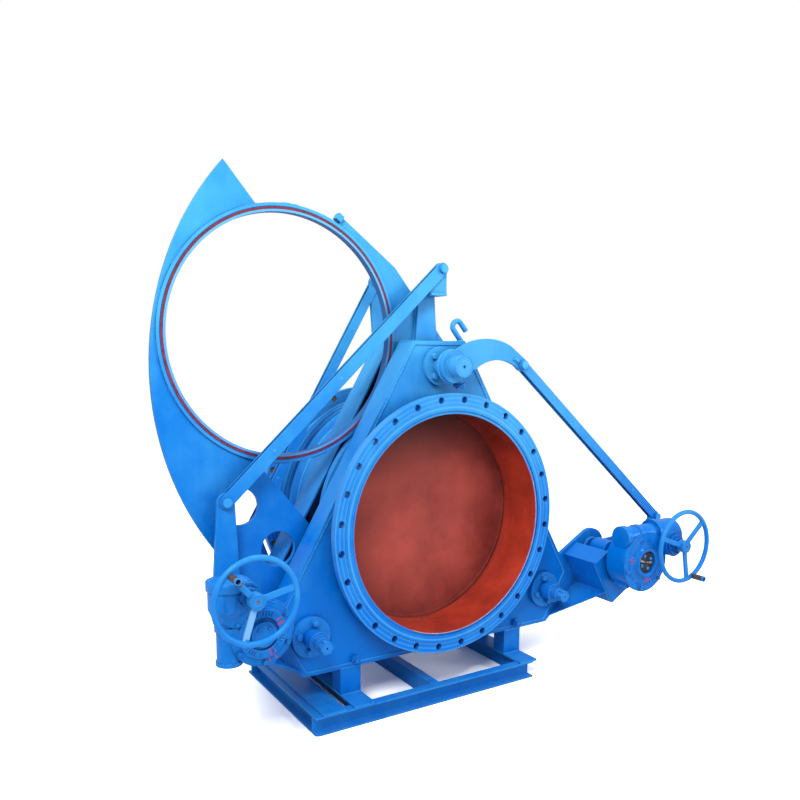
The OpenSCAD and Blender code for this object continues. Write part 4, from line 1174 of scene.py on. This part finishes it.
# %% Handwheel details
WHEELS = {  # side: (centre, rim radius, wheel plane, spokes, handle angle, handle reach, paint)
    "left": (left_wheel, 154, -290, (12, 132, 252), 132, 136, blue_left_wheel),
    "right": (right_wheel, 170, -350, (40, 160, 280), 293, 170, blue_wheel),
}
for side, (centre, rim, plane, spoke_angles, handle_angle, reach, paint) in WHEELS.items():
    body, hub_front = side + "_handwheel", plane - 16
    hub = [cast_ring(centre, r, hub_front, 3.2, 1.5, 48) for r in (26.5, 19)]
    for angle in spoke_angles:
        for y in (plane - 4.6, plane + 4.6):
            for radius, half_arc, size in ((rim - 10.5, 4.4, 2.6), (29.5, 22, 2.2)):
                arc = [put(centre, angle + turn, radius, y) for turn in np.linspace(-half_arc, half_arc, 8)]
                hub.append(bead(arc, size, 5))
    piece(side + "_wheel_welds", hub, paint, body)
    nut = hexagon(on_axis(centre, hub_front + 7), 13, 6.2, FRONT, 12)
    piece(side + "_wheel_nut", [nut], brown_steel, body)
    handle = put(centre, handle_angle, reach, plane - 72)
    sleeve = [(13.1, -9), (13.4, -11), (13.6, -30), (13.4, -58), (13.1, -64), (12.7, -64), (12.7, -9)]
    piece(side + "_wheel_grip", [ring(sleeve, handle, sides=36)], brown_steel, body)
    tube_end = ring([(8.9, -1), (12.0, -1), (12.2, 0.6), (10.6, 1.2), (8.9, 0.7)], handle, sides=36)
    piece(side + "_grip_end", [tube_end], blue_bolt, body)
    tube_bore = lathe([(8.8, -30), (8.8, -22), (3, -21)], handle, sides=24)
    piece(side + "_grip_bore", [tube_bore], dark_hole, body)

# %% [markdown]
# ## Lifting hooks and guide rods
# Each hook is a bent bar with a fillet of weld round its foot. The guide rods end in a nut with the
# rod's threaded end through it and a washer behind.

# %% Hook and guide rod details
HOOK_WELD_RADIUS, ROD_FRONT, ROD_REAR = 0.0125, 94, 456
hook_welds = []
foot_z = outline("front_walls")[:, 1].max()
for low, high in solids("lifting_hooks"):
    middle = (low + high) / 2
    at_foot = [v.co.x for v in frame["nodes"]["lifting_hooks"].data.vertices
               if v.co.z < foot_z + 0.004 and low[1] - 1e-4 <= v.co.y <= high[1] + 1e-4]
    if at_foot:
        x = sum(at_foot) / len(at_foot)
        around = [(x + HOOK_WELD_RADIUS * math.cos(t), middle[1] + HOOK_WELD_RADIUS * math.sin(t),
                   foot_z + 0.001) for t in np.linspace(0, math.tau, 25)]
        hook_welds.append(bead(around, 3.4, 5))
piece("hook_welds", hook_welds, blue_weld)

rods = []
for low, high in solids("guide_rods"):
    middle = (low + high) / 2
    for axis, y in ((FRONT, ROD_FRONT), (REAR, ROD_REAR)):
        centre = np.array([middle[0], y * MM, middle[2]])
        rods.append(ring([(12.2, -0.5), (16, -0.5), (16.2, 1.2), (14, 2.2), (12.2, 2.2)], centre, axis, 30))
        rods += [ring([(11.9, -0.9), (12.9, 0), (11.9, 0.9)],
                      centre + np.array(axis) * MM * (5 + 3.2 * k), axis, 30) for k in range(4)]
piece("guide_rod_ends", rods, blue_bolt)

# %% [markdown]
# ## Plugs in the rear flange
# Brown wooden plugs keep dirt out of the bolt holes of the rear flange until the valve is fitted. They
# are turned with a shallow dish and a worn rim.

# %% Rear flange plugs
HOLES, HOLE_CIRCLE = 28, 560
plug_y = face("rear_flange", REAR) - 22
plugs = [lathe([(14.4, -10), (14.6, 8), (13.2, 9.4), (9, 8.2), (3, 7.4)],
               put(bore, 90 + (k + 0.5) * 360 / HOLES, HOLE_CIRCLE, plug_y), FRONT, 20)
         for k in range(HOLES)]
piece("rear_flange_plugs", plugs, wood)

# %% [markdown]
# ## Studio floor and light
# The floor and the world are plain and pale. Seen straight they are white. What reaches
# the object is softer: even light from all round, a little stronger from above, and a broad lamp high
# on the left that gives the plates their shape. Light Path tells the rays apart.

# %% Floor
REACH = 40.0
FLOOR_SEEN, FLOOR_LIT = (1.75, 1.75, 1.75, 1.0), (0.62, 0.63, 0.65, 1.0)
floor_mesh = bpy.data.meshes.new("studio_floor")
floor_mesh.from_pydata([(-REACH, -REACH, 0), (REACH, -REACH, 0), (REACH, REACH, 0), (-REACH, REACH, 0)], [],
                       [(0, 1, 2, 3)])
floor = bpy.data.objects.new("studio_floor", floor_mesh)
scene.collection.objects.link(floor)
floor.location.z = min(corner[2] for corner in cad_box) - 0.0005
floor_finish, tree, shader, here = new_finish("pale_floor")
mottle = spread(noise(here, 1.5, 3.0), 0.3, 0.7, 0.97, 1.0)
shown = mixed(add(tree, "LightPath")["Is Camera Ray"], FLOOR_LIT, FLOOR_SEEN)
grey = add(tree, "CombineColor", {0: mottle, 1: mottle, 2: mottle})[0]
connect(shader.inputs, {"Base Color": mixed(1.0, shown, grey, "MULTIPLY"), "Roughness": 0.9,
                        "Specular IOR Level": 0.0})
floor_mesh.materials.append(floor_finish)
print("floor at", floor.location.z)

# %% World and lamps
SOFT_LOW, SOFT_HIGH = 0.46, 0.66
world = bpy.data.worlds.new("studio_world")
scene.world = world
world.use_nodes = True
tree = world.node_tree
tree.nodes.clear()
ray = add(tree, "LightPath")
direct = plus(ray["Is Camera Ray"], ray["Is Transmission Ray"], True)
soft = spread(along("Z", add(tree, "TexCoord")["Generated"]), -0.2, 1.0, SOFT_LOW, SOFT_HIGH)
level = plus(times(direct, 1.0), times(minus(1.0, direct), soft))
backdrop = add(tree, "Background", {"Color": (1, 1, 1, 1), "Strength": level})[0]
tree.links.new(backdrop, tree.nodes.new("ShaderNodeOutputWorld").inputs["Surface"])


def lamp(name, at, size, power, aim=(0, 0.2, 0.9)):
    light = bpy.data.lights.new(name, "AREA")
    light.shape, light.size, light.energy = "DISK", size, power
    made = bpy.data.objects.new(name, light)
    made.location = at
    made.rotation_mode = "QUATERNION"
    made.rotation_quaternion = (Vector(aim) - Vector(at)).to_track_quat("-Z", "Y")
    scene.collection.objects.link(made)
    print(name, power, "W")


lamp("broad_key", (-3.4, -3.5, 5.3), 2.2, 290)
lamp("top_fill", (0.6, 1.0, 5.5), 3.5, 50)
lamp("right_fill", (4.2, -4.0, 2.2), 2.6, 90)
lamp("left_spark", (-4.4, -2.2, 4.2), 0.5, 34)
lamp("right_spark", (1.6, -2.6, 4.6), 0.45, 34, (0.9, -0.2, 0.7))
scene.view_settings.view_transform = "Standard"

# %% [markdown]
# ## Sizes
# The new pieces must stay inside the construction model's box. The last cell counts them and their
# triangles.

# %% Sizes and finish
triangles = sum(max(0, len(polygon.vertices) - 2) for made in made_pieces for polygon in made.data.polygons)
print(len(made_pieces), "pieces,", triangles, "triangles")
